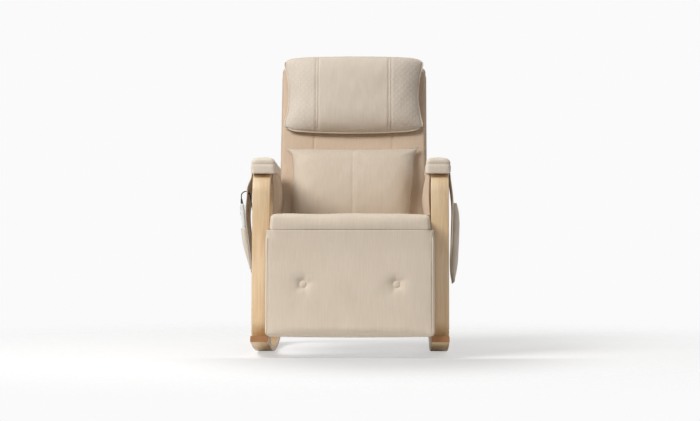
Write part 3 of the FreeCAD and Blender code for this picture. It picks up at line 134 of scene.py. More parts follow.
def voxel_remesh(piece, size):
    remesh = piece.modifiers.new("remesh", "REMESH")
    remesh.mode = "VOXEL"
    remesh.voxel_size = size
    apply_modifiers(piece)


def subdivide(piece):
    smooth = piece.modifiers.new("smooth", "SUBSURF")
    smooth.levels = 1
    smooth.render_levels = 1
    apply_modifiers(piece)


def corner_points(points, radii, steps=6):
    """A closed outline with an arc at each corner."""
    made = []
    count = len(points)
    for i, radius in enumerate(radii):
        here = Vector(points[i])
        before = (Vector(points[i - 1]) - here).normalized()
        after = (Vector(points[(i + 1) % count]) - here).normalized()
        if radius == 0:
            made.append(tuple(here))
            continue
        half = before.angle(after) / 2
        run = radius / math.tan(half)
        centre = here + (before + after).normalized() * (radius / math.sin(half))
        start = here + before * run - centre
        stop = here + after * run - centre
        for k in range(steps + 1):
            share = k / steps
            blend = start * (1 - share) + stop * share
            made.append(tuple(centre + blend.normalized() * radius))
    return made


def box_outline(low_a, high_a, low_b, high_b, radii, steps=6):
    points = [(low_a, low_b), (high_a, low_b), (high_a, high_b), (low_a, high_b)]
    return corner_points(points, radii, steps)


def prism(name, outline, low, high, rim, axis="x", rim_above=-1.0):
    """A block with the given outline across an axis, its two rims rounded above a height."""
    form = bmesh.new()
    if axis == "x":
        ring = [form.verts.new((low, a, b)) for a, b in outline]
        shift = Vector((high - low, 0, 0))
    else:
        ring = [form.verts.new((a, low, b)) for a, b in outline]
        shift = Vector((0, high - low, 0))
    base = form.faces.new(ring)
    grown = bmesh.ops.extrude_face_region(form, geom=[base])["geom"]
    far = [g for g in grown if isinstance(g, bmesh.types.BMVert)]
    bmesh.ops.translate(form, verts=far, vec=shift)
    bmesh.ops.recalc_face_normals(form, faces=form.faces)
    near_set = set(ring)
    far_set = set(far)
    rims = []
    for edge in form.edges:
        ends = set(edge.verts)
        height = sum(vert.co.z for vert in ends) / 2
        if height > rim_above and (ends <= near_set or ends <= far_set):
            rims.append(edge)
    bmesh.ops.bevel(form, geom=rims, offset=rim, segments=4, profile=0.5, affect="EDGES")
    return object_from(form, name)


PUFF_FRAMES = 20


def puff(piece, cap, pinned, pressure=4.0):
    """Inflate a closed cover as cloth, with its seams and back held, and limit how far it moves."""
    mesh = piece.data
    start = read_points(mesh)
    held = piece.vertex_groups.new(name="held")
    held.add([int(i) for i in np.nonzero(pinned)[0]], 1.0, "REPLACE")
    cloth = piece.modifiers.new("cloth", "CLOTH")
    settings = cloth.settings
    settings.quality = 4
    settings.mass = 0.2
    settings.tension_stiffness = 12
    settings.compression_stiffness = 12
    settings.shear_stiffness = 4
    settings.bending_stiffness = 0.3
    settings.use_pressure = True
    settings.uniform_pressure_force = pressure
    settings.vertex_group_mass = "held"
    settings.effector_weights.gravity = 0
    cloth.collision_settings.use_collision = False
    cloth.collision_settings.use_self_collision = False
    cloth.point_cache.frame_start = 1
    cloth.point_cache.frame_end = PUFF_FRAMES
    for step in range(1, PUFF_FRAMES + 1):
        scene.frame_set(step)
    graph = bpy.context.evaluated_depsgraph_get()
    moved = read_points(piece.evaluated_get(graph).data)
    piece.modifiers.clear()
    piece.vertex_groups.clear()
    scene.frame_set(1)
    way = moved - start
    far = np.linalg.norm(way, axis=1, keepdims=True)
    way *= np.minimum(1, cap / np.maximum(far, 1e-9))
    write_points(mesh, start + way)


def bell(distance, width):
    """One at no distance, falling off smoothly over a width."""
    return np.exp(-((distance / width) ** 2))


def waves(points, pitch, seed):
    """A smooth wandering number between -1 and 1 at each point, the same on every run."""
    draws = np.random.default_rng(seed)
    total = np.zeros(len(points))
    for k in range(5):
        way = draws.normal(size=3)
        way *= (1 + 0.5 * k) * 2 * math.pi / (pitch * np.linalg.norm(way))
        total += np.sin(points @ way + draws.uniform(0, 6.28)) / (1 + 0.5 * k)
    return total / 3.0


def run_of(path):
    """The length of a line through points."""
    return sum((Vector(b) - Vector(a)).length for a, b in zip(path, path[1:]))


def hoop(low_a, high_a, low_b, high_b, step):
    """A line up, across the top and down again, with bent corners and points about a step apart."""
    corners = [(low_a, low_b), (low_a, high_b), (high_a, high_b), (high_a, low_b)]
    path = corner_points(corners, (0, 0.006, 0.006, 0))
    made = []
    for start, stop in zip(path, path[1:]):
        count = max(1, round(run_of((start, stop)) / step))
        for k in range(count):
            made.append(tuple(Vector(start).lerp(Vector(stop), k / count)))
    made.append(path[-1])
    return made


def upright(place, x, y, start, step, count):
    """Points a step apart, up or down a local frame."""
    return [place @ Vector((x, y, start + step * k)) for k in range(count)]


def push(piece, amount):
    """Move each point along its normal."""
    mesh = piece.data
    write_points(mesh, read_points(mesh) + read_points(mesh, "normal") * amount[:, None])


def tube(name, points, radius, sides=8, closed=False):
    """A round tube through the given points."""
    line = [Vector(p) for p in points]
    count = len(line)
    verts = []
    faces = []
    side_way = None
    for i, point in enumerate(line):
        if closed:
            way = (line[(i + 1) % count] - line[i - 1]).normalized()
        else:
            way = (line[min(i + 1, count - 1)] - line[max(i - 1, 0)]).normalized()
        if side_way is None:
            side_way = way.orthogonal().normalized()
        side_way = (side_way - way * side_way.dot(way)).normalized()
        up_way = way.cross(side_way)
        for k in range(sides):
            turn = 2 * math.pi * k / sides
            verts.append(point + (side_way * math.cos(turn) + up_way * math.sin(turn)) * radius)
    for i in range(count if closed else count - 1):
        j = (i + 1) % count
        for k in range(sides):
            m = (k + 1) % sides
            faces.append((i * sides + k, i * sides + m, j * sides + m, j * sides + k))
    if not closed:
        faces.append(tuple(range(sides))[::-1])
        faces.append(tuple((count - 1) * sides + k for k in range(sides)))
    return mesh_object(name, verts, faces)


# Materials.
def linear(r, g, b):
    """A colour seen on a screen, in the shader's linear values."""
    made = []
    for value in (r, g, b):
        share = value / 255
        made.append(share / 12.92 if share <= 0.04045 else ((share + 0.055) / 1.055) ** 2.4)
    return (*made, 1)


def feed(tree, socket, value):
    """Link an output to a socket, or set the socket's own value."""
    if isinstance(value, bpy.types.NodeSocket):
        tree.links.new(value, socket)
    else:
        socket.default_value = value


def add_node(tree, kind, settings=None, **inputs):
    item = tree.nodes.new("ShaderNode" + kind)
    for key, value in (settings or {}).items():
        setattr(item, key, value)
    for key, value in inputs.items():
        feed(tree, item.inputs[key], value)
    return item


def calculate(tree, operation, *terms, kind="Math", output=0):
    item = add_node(tree, kind, {"operation": operation})
    for socket, term in zip(item.inputs, terms):
        feed(tree, socket, term)
    return item.outputs[output]


def map_range(tree, value, low, high, start=0.0, stop=1.0, easing="LINEAR"):
    item = add_node(tree, "MapRange", {"interpolation_type": easing}, Value=value)
    for key, number in (("From Min", low), ("From Max", high), ("To Min", start), ("To Max", stop)):
        item.inputs[key].default_value = number
    return item.outputs[0]


def noise(tree, place, scale, detail, **inputs):
    return add_node(tree, "TexNoise", Vector=place, Scale=scale, Detail=detail, **inputs).outputs["Fac"]


def mapped(tree, place, **inputs):
    return add_node(tree, "Mapping", Vector=place, **inputs).outputs["Vector"]


def object_place(tree):
    return add_node(tree, "TexCoord").outputs["Object"]


def new_material(name, **values):
    """A material, its node tree and its shader, with the shader's own values set."""
    made = bpy.data.materials.new(name)
    made.use_nodes = True
    shader = made.node_tree.nodes["Principled BSDF"]
    for key, value in values.items():
        shader.inputs[key.replace("_", " ")].default_value = value
    return made, made.node_tree, shader


def two_tone(tree, shader, factor, dark, light):
    mix = add_node(tree, "Mix", {"data_type": "RGBA"})
    for index, value in ((0, factor), (6, dark), (7, light)):
        feed(tree, mix.inputs[index], value)
    feed(tree, shader.inputs["Base Color"], mix.outputs[2])


def bumps(tree, shader, height, strength, distance):
    bump = add_node(tree, "Bump", Strength=strength, Distance=distance, Height=height)
    feed(tree, shader.inputs["Normal"], bump.outputs["Normal"])


def mix_shaders(tree, share, first, second, ending):
    """Blend two shaders and send them to the tree's last node."""
    mix = add_node(tree, "MixShader")
    for socket, value in zip(mix.inputs, (share, first, second)):
        feed(tree, socket, value)
    feed(tree, ending.inputs["Surface"], mix.outputs[0])


def plain(name, colour, roughness, metallic=0.0, coat=0.0):
    """Moulded, coated or plated surface: a slight unevenness of tone and gloss, and a fine grain."""
    made, tree, shader = new_material(name, Roughness=roughness, Metallic=metallic, Coat_Weight=coat)
    place = object_place(tree)
    cloud = noise(tree, place, scale=45.0, detail=4.0)
    dark = (*(0.86 * part for part in colour[:3]), 1)
    light = (*(min(1.0, 1.14 * part) for part in colour[:3]), 1)
    two_tone(tree, shader, cloud, dark, light)
    gloss = map_range(tree, cloud, 0.0, 1.0, roughness - 0.08, roughness + 0.08)
    feed(tree, shader.inputs["Roughness"], gloss)
    bumps(tree, shader, noise(tree, place, scale=900.0, detail=2.0), strength=0.15, distance=0.0002)
    return made


def fabric(name, dark, light, weave=420.0, lean=0.0, depth=0.00035, contrast=0.0, crossing="MAXIMUM"):
    """Woven cloth: a soft cloudy tone, with crossing threads as bump and, if asked, as tone."""
    made, tree, shader = new_material(
        name, Roughness=0.93, Sheen_Weight=0.18, Sheen_Roughness=0.5, Specular_IOR_Level=0.08
    )
    place = object_place(tree)
    fibre = noise(tree, place, scale=900.0, detail=2.0)
    cloud = noise(tree, place, scale=14.0, detail=3.0)
    slub = noise(tree, mapped(tree, place, Scale=(260, 60, 14)), scale=1.0, detail=3.0)
    tone = calculate(tree, "MULTIPLY", fibre, 0.35)
    tone = calculate(tree, "MULTIPLY_ADD", cloud, 0.3, tone)
    tone = calculate(tree, "MULTIPLY_ADD", slub, 0.5, tone)
    leaning = mapped(tree, place, Rotation=(0, math.radians(lean), 0))
    threads = []
    for way in ("X", "Z"):
        bands = {"wave_type": "BANDS", "bands_direction": way}
        thread = add_node(tree, "TexWave", bands, Vector=leaning, Scale=weave, Distortion=0.6)
        threads.append(thread.outputs["Fac"])
    woven = calculate(tree, crossing, *threads)
    two_tone(tree, shader, calculate(tree, "MULTIPLY_ADD", woven, contrast, tone), dark, light)
    bumps(tree, shader, calculate(tree, "ADD", woven, fibre), strength=0.5, distance=depth)
    return made


STRIP_FACTS = ("along", "across", "ply")
PLY_PITCH = 0.0016


def wood(name, dark, light, is_strip):
    """Pale birch: streaks along the grain and, on a bent strip, fine glued plies on its edges."""
    made, tree, shader = new_material(name, Roughness=0.42, Coat_Weight=0.12, Coat_Roughness=0.35)
    if is_strip:
        parts = [add_node(tree, "Attribute", {"attribute_name": key}).outputs["Fac"] for key in STRIP_FACTS]
        joined = add_node(tree, "CombineXYZ")
        for socket, part in zip(joined.inputs, parts):
            feed(tree, socket, part)
        place = joined.outputs[0]
    else:
        place = object_place(tree)
    streaks = mapped(tree, place, Scale=(2.6, 44, 80))
    grain = noise(tree, streaks, scale=1.0, detail=4.0, Roughness=0.55, Distortion=2.6)
    figure = noise(tree, mapped(tree, place, Scale=(5, 16, 16)), scale=1.0, detail=2.0)
    tone = map_range(tree, calculate(tree, "ADD", grain, figure), 0.70, 1.30)
    if is_strip:
        turns = calculate(tree, "MULTIPLY", parts[2], 2 * math.pi / PLY_PITCH)
        tone = calculate(tree, "MULTIPLY_ADD", calculate(tree, "SINE", turns), 0.16, tone)
    two_tone(tree, shader, tone, dark, light)
    bumps(tree, shader, grain, strength=0.12, distance=0.0004)
    return made


BEIGE = fabric("beige_weave", linear(206, 189, 168), linear(233, 220, 203))
# A darker copy of the beige cloth for the leaning lumbar pillow: painted shade that offsets the stronger
# light it catches.
SHADED_LUMBAR_CLOTH = fabric("lumbar_weave_painted_shade", linear(194, 178, 158), linear(221, 208, 191))
# A lighter copy of the beige cloth for the arm pads: painted light.
LIT_PAD_CLOTH = fabric("pad_weave_painted_light", linear(215, 199, 180), linear(241, 230, 215))
# A darker, warmer cloth for the back and its band; on the inner arm flaps it is painted shade.
BACK_CLOTH_AND_FLAP_SHADE = fabric("back_weave_and_flap_shade", linear(194, 170, 145), linear(221, 199, 176))
PILLOW = fabric("pillow_weave", linear(204, 190, 173), linear(231, 220, 206))
MESHED = fabric(
    "pillow_side_quilting",
    linear(196, 182, 166),
    linear(227, 217, 204),
    weave=22.0,
    lean=45.0,
    depth=0.0009,
    contrast=0.12,
    crossing="MINIMUM",
)
POCKET = fabric("pocket_weave", linear(208, 196, 181), linear(238, 229, 216))
THREAD = plain("stitch_thread", linear(196, 178, 154), 0.8)
PIPING = fabric("piping_weave", linear(212, 196, 176), linear(236, 224, 208), weave=700.0, lean=45.0)
BIRCH = wood("bent_birch", linear(196, 158, 110), linear(226, 201, 165), is_strip=True)
# Dark brown for the strips' end faces: partly the birch's own end grain, partly painted shade.
END_GRAIN_AND_SHADE = plain("end_grain_and_painted_shade", linear(152, 106, 64), 0.6)
BOARD = wood("sawn_birch", linear(190, 152, 106), linear(221, 193, 152), is_strip=False)
BLACK_STEEL = plain("black_powder_coat", (0.02, 0.02, 0.02, 1), 0.5)
ZINC = plain("zinc_plate", (0.55, 0.55, 0.53, 1), 0.35, metallic=1.0)
ALUMINIUM = plain("cast_aluminium", (0.62, 0.62, 0.63, 1), 0.45, metallic=1.0)
NYLON = plain("natural_nylon", (0.75, 0.72, 0.65, 1), 0.45)
BLACK_PLASTIC = plain("moulded_black", (0.02, 0.02, 0.02, 1), 0.6)
GREEN = plain("solder_mask", (0.02, 0.12, 0.05, 1), 0.4)
WHITE = plain("moulded_white", linear(226, 230, 233), 0.3, coat=0.2)
KEYS = plain("key_rubber", linear(120, 124, 128), 0.6)
DARK_SNAP = plain("dark_snap", linear(58, 42, 32), 0.3, coat=0.3)
CORD_BLACK = plain("cord_black", linear(24, 23, 22), 0.55)
WEBBING = fabric("webbing_weave", linear(52, 46, 40), linear(84, 76, 68), weave=600.0)

CAD_LOOKS = {
    BOARD: ("front_rail", "rear_rail", "footrest_board"),
    BLACK_STEEL: (
        "seat_frame",
        "back_frame",
        "recline_hinge_fixed",
        "recline_hinge_moving",
        "footrest_hinge_fixed",
        "footrest_hinge_moving",
        "lift_motor",
        "roller_motor",
    ),
    ZINC: (
        "frame_bolts",
        "barrel_nuts",
        "rocker_screws",
        "hinge_pins",
        "guide_rods",
        "lead_screw",
        "seat_spacers",
    ),
    ALUMINIUM: ("carriage",),
    NYLON: ("drive_pinion", "right_disc_gear", "left_disc_gear", "right_massage_heads", "left_massage_heads"),
    BLACK_PLASTIC: ("control_box", "control_box_lid", "power_inlet", "cord_gland"),
    BEIGE: ("back_rear_cover",),
    GREEN: ("control_circuit",),
    WHITE: ("remote_housing",),
    KEYS: ("remote_power_key", "remote_up_key", "remote_down_key", "remote_heat_key"),
    DARK_SNAP: ("flap_snaps", "cord_eyelet"),
    CORD_BLACK: ("remote_strain_relief",),
    WEBBING: ("seat_webbing",),
}
for look, names in CAD_LOOKS.items():
    for name in names:
        piece = nodes_of[name]
        piece.data.materials.clear()
        piece.data.materials.append(look)


def place_piece(piece, body, look, replaced=()):
    """Give a finished piece its look and its body, and hide the nodes that it stands for."""
    if look:
        piece.data.materials.clear()
        piece.data.materials.append(look)
    smooth_faces(piece)
    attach(piece, body)
    if replaced:
        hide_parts(*replaced)
    return piece


# Cord: it hangs from the gland under the seat, goes through the eyelet and ends at the strain relief.
TIP = Vector((-0.3645052, -0.2179513, 0.5149307))
RISE = Vector((-0.3657595, -0.2173267, 0.5268486))
EYELET = Vector((-0.3425, -0.2168502, 0.5359407))
GLAND = Vector((0.0077, -0.1649161, 0.2964161))
HANGING_RUN = (
    (-0.331, 0.003, -0.040),
    (-0.326, 0.007, -0.076),
    (-0.318, 0.013, -0.122),
    (-0.306, 0.020, -0.172),
    (-0.288, 0.028, -0.220),
    (-0.260, 0.035, -0.264),
    (-0.218, 0.041, -0.298),
    (-0.166, 0.045, -0.314),
    (-0.112, 0.047, -0.306),
)
route = [
    TIP,
    RISE,
    Vector((RISE.x + 0.0065, EYELET.y, RISE.z + 0.0089)),
    EYELET + Vector((-0.006, 0, 0.0035)),
    EYELET + Vector((0.0044, 0, -0.0025)),
    EYELET + Vector((0.009, 0.001, -0.016)),
    *(Vector((x, EYELET.y + behind, EYELET.z + rise)) for x, behind, rise in HANGING_RUN),
    Vector((-0.066, GLAND.y - 0.002, EYELET.z - 0.278)),
    GLAND + Vector((-0.038, -0.001, -0.020)),
    GLAND + Vector((-0.014, 0, -0.0015)),
    GLAND,
]
route.reverse()
cord_curve = bpy.data.curves.new("cord_line", "CURVE")
cord_curve.dimensions = "3D"
spline = cord_curve.splines.new("NURBS")
spline.points.add(len(route) - 1)
for control, point in zip(spline.points, route):
    control.co = (*point, 1)
spline.order_u = 3
spline.use_endpoint_u = True
spline.resolution_u = 6
cord_line = add_object("cord_line", cord_curve)
bpy.context.view_layer.update()
graph = bpy.context.evaluated_depsgraph_get()
line_mesh = bpy.data.meshes.new_from_object(cord_line.evaluated_get(graph))
cord_path = [Vector(v.co) for v in line_mesh.vertices]
bpy.data.meshes.remove(line_mesh)
bpy.data.objects.remove(cord_line)
CORD_DIAMETER = 0.0035
cord = tube("remote_cord_flex", cord_path, CORD_DIAMETER / 2, sides=10)
cord.data.materials.append(CORD_BLACK)
smooth_faces(cord)
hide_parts("remote_cord")
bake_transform(cord)


# Bentwood: the same middle lines as the CAD strips, swept with a rounded section.
STRIP_HALF_WIDTH = 0.029
STRIP_HALF_THICKNESS = 0.010
STRIP_CORNER = 0.003
STRIP_MIDDLE = 0.291
ROCKER_RADIUS = 2.05
NOSE_REACH = 0.462
TAIL_REACH = 0.428
NOSE_LEDGE = 0.050
TAIL_LEDGE = 0.055
FOOT_BEND = 0.050
FOOT_LENGTH = 0.075
GLUE_GAP = 0.0003
ARM_HEIGHT = 0.598
ARM_BEND = 0.065
REAR_BEND = 0.085
LEG_HEADING = math.radians(90 - LEG_LEAN)
ARM_HEADING = math.radians(-ARM_LEAN)
REAR_HEADING = math.radians(-90 + REAR_LEG_LEAN)
STATION_STEP = 0.03
BEND_STEP = math.radians(4)


def heading_way(angle):
    return Vector((math.cos(angle), math.sin(angle)))


def left_of(angle):
    return Vector((-math.sin(angle), math.cos(angle)))


def on_arc(radius, angle):
    """A place on a circle about the rockers' centre, by its angle from straight below."""
    return Vector((radius * math.sin(angle), ROCKER_RADIUS - radius * math.cos(angle)))


def stations(point, heading, moves):
    """Points, headings and distances along straight runs and right-hand bends."""
    made = [(point.copy(), heading, 0.0)]
    gone = 0.0
    for move in moves:
        if len(move) == 1:
            run = move[0]
            steps = max(1, round(run / STATION_STEP))
            for k in range(1, steps + 1):
                part = run * k / steps
                made.append((point + heading_way(heading) * part, heading, gone + part))
            point = made[-1][0]
            gone += run
        else:
            radius, angle = move
            centre = point - left_of(heading) * radius
            steps = max(2, round(max(angle / BEND_STEP, radius * angle / STATION_STEP)))
            for k in range(1, steps + 1):
                turn = heading - angle * k / steps
                made.append((centre + left_of(turn) * radius, turn, gone + radius * angle * k / steps))
            point = made[-1][0]
            heading -= angle
            gone += radius * angle
    return made


def bent_strip(name, line, middle):
    """A strip swept along its stations, whose points know their place along, across and in the plies."""
    ring = box_outline(
        -STRIP_HALF_WIDTH,
        STRIP_HALF_WIDTH,
        -STRIP_HALF_THICKNESS,
        STRIP_HALF_THICKNESS,
        (STRIP_CORNER,) * 4,
        steps=3,
    )
    size = len(ring)
    verts = []
    facts = []
    for point, heading, gone in line:
        for across, off in ring:
            spot = point + left_of(heading) * off
            verts.append((middle + across, spot.x, spot.y))
            facts.append((gone, across, off))
    faces = []
    for i in range(len(line) - 1):
        for k in range(size):
            m = (k + 1) % size
            faces.append((i * size + k, (i + 1) * size + k, (i + 1) * size + m, i * size + m))
    faces.append(tuple(range(size)))
    last = (len(line) - 1) * size
    faces.append(tuple(last + k for k in range(size))[::-1])
    piece = mesh_object(name, verts, faces)
    face_outwards(piece)
    for column, key in enumerate(STRIP_FACTS):
        layer = piece.data.attributes.new(key, "FLOAT", "POINT")
        layer.data.foreach_set("value", [fact[column] for fact in facts])
    return piece


BOLT_PLACES = (
    (-0.38708, 0.21916), (-0.38251, 0.25084), (-0.36577, 0.36700),
    (0.35410, 0.16018), (0.34854, 0.19170), (0.33933, 0.24394),
)


RECESS_RADIUS = 0.0070
RECESS_DEPTH = 0.0050


def bolt_recesses(piece, line, side):
    """Sink the bolts' recesses in the outer face, and give the new points their places along the strip."""
    outer_face = side * (STRIP_MIDDLE + STRIP_HALF_WIDTH)
    form = bmesh.new()
    for y, z in BOLT_PLACES:
        bmesh.ops.create_cone(
            form,
            cap_ends=True,
            segments=32,
            radius1=RECESS_RADIUS,
            radius2=RECESS_RADIUS,
            depth=2 * RECESS_DEPTH,
            matrix=Matrix.Translation((outer_face, y, z)) @ Matrix.Rotation(math.pi / 2, 4, "Y"),
        )
    cutter = object_from(form, "recess_cutter")
    hollow = piece.modifiers.new("recess", "BOOLEAN")
    hollow.operation = "DIFFERENCE"
    hollow.solver = "EXACT"
    hollow.object = cutter
    apply_modifiers(piece)
    bpy.data.objects.remove(cutter)
    points = read_points(piece.data)
    best = np.full(len(points), np.inf)
    along = np.zeros(len(points))
    ply = np.zeros(len(points))
    for (start, heading, gone), (stop, after, total) in zip(line, line[1:]):
        way = np.array(stop - start)
        share = np.clip((points[:, 1:] - np.array(start)) @ way / (way @ way), 0, 1)
        off = points[:, 1:] - np.array(start) - share[:, None] * way
        far = np.linalg.norm(off, axis=1)
        nearer = far < best
        best = np.where(nearer, far, best)
        along = np.where(nearer, gone + share * (total - gone), along)
        ply = np.where(nearer, off @ np.array(left_of((heading + after) / 2)), ply)
    across = points[:, 0] - side * STRIP_MIDDLE
    for key, values in zip(STRIP_FACTS, (along, across, ply)):
        piece.data.attributes[key].data.foreach_set("value", values.astype(np.float32))


rocker_middle = ROCKER_RADIUS - STRIP_HALF_THICKNESS
nose_angle = -math.asin(NOSE_REACH / ROCKER_RADIUS)
tail_angle = math.asin(TAIL_REACH / ROCKER_RADIUS)
rocker_line = stations(
    on_arc(rocker_middle, tail_angle), math.pi + tail_angle, [(rocker_middle, tail_angle - nose_angle)]
)
foot_middle = ROCKER_RADIUS - 3 * STRIP_HALF_THICKNESS - GLUE_GAP
foot_angle = FOOT_LENGTH / foot_middle
bend_edge = FOOT_BEND + STRIP_HALF_THICKNESS
front_foot = math.asin((-NOSE_REACH + NOSE_LEDGE + bend_edge) / (foot_middle - FOOT_BEND))
rear_foot = math.asin((TAIL_REACH - TAIL_LEDGE - bend_edge) / (foot_middle - FOOT_BEND))
front_centre = on_arc(foot_middle - FOOT_BEND, front_foot)
rear_centre = on_arc(foot_middle - FOOT_BEND, rear_foot)


def bend_step(radius, before, after):
    """How far a bend carries a line on."""
    return (left_of(after) - left_of(before)) * radius


leg_foot = front_centre + left_of(LEG_HEADING) * FOOT_BEND
arm_step = bend_step(ARM_BEND, LEG_HEADING, ARM_HEADING)
arm_middle_height = ARM_HEIGHT - STRIP_HALF_THICKNESS * math.cos(ARM_HEADING)
leg_run = (arm_middle_height - leg_foot.y - arm_step.y) / math.sin(LEG_HEADING)
arm_start = leg_foot + heading_way(LEG_HEADING) * leg_run + arm_step
rear_end = rear_centre + left_of(REAR_HEADING) * FOOT_BEND
gap = rear_end - arm_start - bend_step(REAR_BEND, ARM_HEADING, REAR_HEADING)
arm_way = heading_way(ARM_HEADING)
rear_way = heading_way(REAR_HEADING)
cross = arm_way.x * rear_way.y - arm_way.y * rear_way.x
arm_run = (gap.x * rear_way.y - gap.y * rear_way.x) / cross
rear_run = (arm_way.x * gap.y - arm_way.y * gap.x) / cross
side_line = stations(
    on_arc(foot_middle, front_foot + foot_angle),
    math.pi + front_foot + foot_angle,
    [
        (foot_middle, foot_angle),
        (FOOT_BEND, math.pi + front_foot - LEG_HEADING),
        (leg_run,),
        (ARM_BEND, LEG_HEADING - ARM_HEADING),
        (arm_run,),
        (REAR_BEND, ARM_HEADING - REAR_HEADING),
        (rear_run,),
        (FOOT_BEND, REAR_HEADING + math.pi - rear_foot),
        (foot_middle, foot_angle),
    ],
)
for side_name, side in SIDES:
    rocker = bent_strip(side_name + "_rocker_wood", rocker_line, side * STRIP_MIDDLE)
    place_piece(rocker, "chair_frame", BIRCH, (side_name + "_rocker",))
    loop = bent_strip(side_name + "_side_wood", side_line, side * STRIP_MIDDLE)
    place_piece(loop, "chair_frame", BIRCH, (side_name + "_side_frame",))
    for piece in (rocker, loop):
        # The end faces take the dark brown that is partly end grain and partly painted shade.
        piece.data.materials.append(END_GRAIN_AND_SHADE)
        for face in piece.data.polygons:
            face.use_smooth = len(face.vertices) == 4
            face.material_index = 0 if face.use_smooth else 1
    bolt_recesses(loop, side_line, side)
    for piece in (rocker, loop):
        piece.data.set_sharp_from_angle(angle=math.radians(40))


# Stitches: short threads laid along lines by one node group.
def stitch_group():
    group = bpy.data.node_groups.new("stitch_rows", "GeometryNodeTree")
    face = group.interface
    face.new_socket("Geometry", in_out="INPUT", socket_type="NodeSocketGeometry")
    for label, value in (("Stitch spacing", 0.0042), ("Stitch length", 0.0030), ("Stitch radius", 0.00045)):
        entry = face.new_socket(label, in_out="INPUT", socket_type="NodeSocketFloat")
        entry.default_value = value
    face.new_socket("Geometry", in_out="OUTPUT", socket_type="NodeSocketGeometry")
    made = group.nodes
    start = made.new("NodeGroupInput")
    stop = made.new("NodeGroupOutput")
    curve = made.new("GeometryNodeMeshToCurve")
    rows = made.new("GeometryNodeResampleCurve")
    rows.mode = "LENGTH"
    tangent = made.new("GeometryNodeInputTangent")
    turn = made.new("FunctionNodeAlignEulerToVector")
    turn.axis = "Z"
    thread = made.new("GeometryNodeMeshCylinder")
    thread.inputs["Vertices"].default_value = 6
    spread = made.new("GeometryNodeInstanceOnPoints")
    real = made.new("GeometryNodeRealizeInstances")
    paint = made.new("GeometryNodeSetMaterial")
    paint.inputs["Material"].default_value = THREAD
    wire = group.links.new
    wire(start.outputs["Geometry"], curve.inputs[0])
    wire(curve.outputs[0], rows.inputs["Curve"])
    wire(start.outputs["Stitch spacing"], rows.inputs["Length"])
    wire(rows.outputs[0], spread.inputs["Points"])
    wire(start.outputs["Stitch length"], thread.inputs["Depth"])
    wire(start.outputs["Stitch radius"], thread.inputs["Radius"])
    wire(thread.outputs["Mesh"], spread.inputs["Instance"])
    wire(tangent.outputs[0], turn.inputs["Vector"])
    wire(turn.outputs[0], spread.inputs["Rotation"])
    wire(spread.outputs[0], real.inputs[0])
    wire(real.outputs[0], paint.inputs["Geometry"])
    wire(paint.outputs[0], stop.inputs[0])
    return group


STITCHES = stitch_group()


def stitch(name, rows, body):
    """Thread along one or more rows of points."""
    verts = []
    edges = []
    for row in rows:
        first = len(verts)
        verts.extend(row)
        edges.extend((first + k, first + k + 1) for k in range(len(row) - 1))
    piece = mesh_object(name, verts, [], edges)
    maker = piece.modifiers.new("stitches", "NODES")
    maker.node_group = STITCHES
    apply_modifiers(piece)
    return place_piece(piece, body, None)


RAY_RUN_UP = 0.08
RAY_REACH = 0.2


def surface_of(piece):
    verts = [vert.co.copy() for vert in piece.data.vertices]
    return BVHTree.FromPolygons(verts, [tuple(face.vertices) for face in piece.data.polygons])


def laid_on(tree, points, way, lift=0.0003):
    """Points moved along a direction on to a surface, from a little before it; a miss is left out."""
    made = []
    for point in points:
        start = Vector(point) - Vector(way) * RAY_RUN_UP
        spot, normal, index, gone = tree.ray_cast(start, Vector(way), RAY_REACH)
        if spot is not None:
            made.append(spot + normal * lift)
    return made


def turned(matrix, way):
    return (matrix.to_3x3() @ Vector(way)).normalized()


# Back cushion, with its centre panel over the massage rollers.
BACK_HALF_WIDTH = 0.2545
BACK_LOW = 0.033
BACK_HIGH = 0.661
BACK_MIDDLE = (BACK_LOW + BACK_HIGH) / 2
PANEL_SEAM = 0.136
back_outline = box_outline(-0.100, -0.0145, BACK_LOW, BACK_HIGH, (0.016,) * 4)
back = prism("back_upholstery", back_outline, -BACK_HALF_WIDTH, BACK_HALF_WIDTH, rim=0.012)
voxel_remesh(back, size=0.0075)
puff(back, cap=0.004, pinned=read_points(back.data)[:, 1] > -0.04)
subdivide(back)
points = read_points(back.data)
x, y, z = points.T
front = np.clip((-y - 0.06) / 0.03, 0, 1)
seam = bell(np.abs(x) - PANEL_SEAM, 0.004) * front
rim = np.maximum(np.abs(x) / BACK_HALF_WIDTH, np.abs(z - BACK_MIDDLE) / (BACK_HIGH - BACK_MIDDLE))
boxing = bell(y + 0.088, 0.0035) * (rim > 0.97)
push(back, -0.0020 * seam - 0.0015 * boxing + 0.0008 * front * waves(points, pitch=0.16, seed=3))
back.data.transform(BACK)
place_piece(back, "backrest", BACK_CLOTH_AND_FLAP_SHADE, ("back_cushion", "massage_panel"))
back_tree = surface_of(back)
into_back = turned(BACK, (0, 1, 0))
rows = []
for side in (-1, 1):
    column = upright(BACK, side * (PANEL_SEAM + 0.004), -0.16, start=0.04, step=0.0102, count=61)
    rows.append(laid_on(back_tree, column, into_back))
stitch("back_panel_stitches", rows, "backrest")


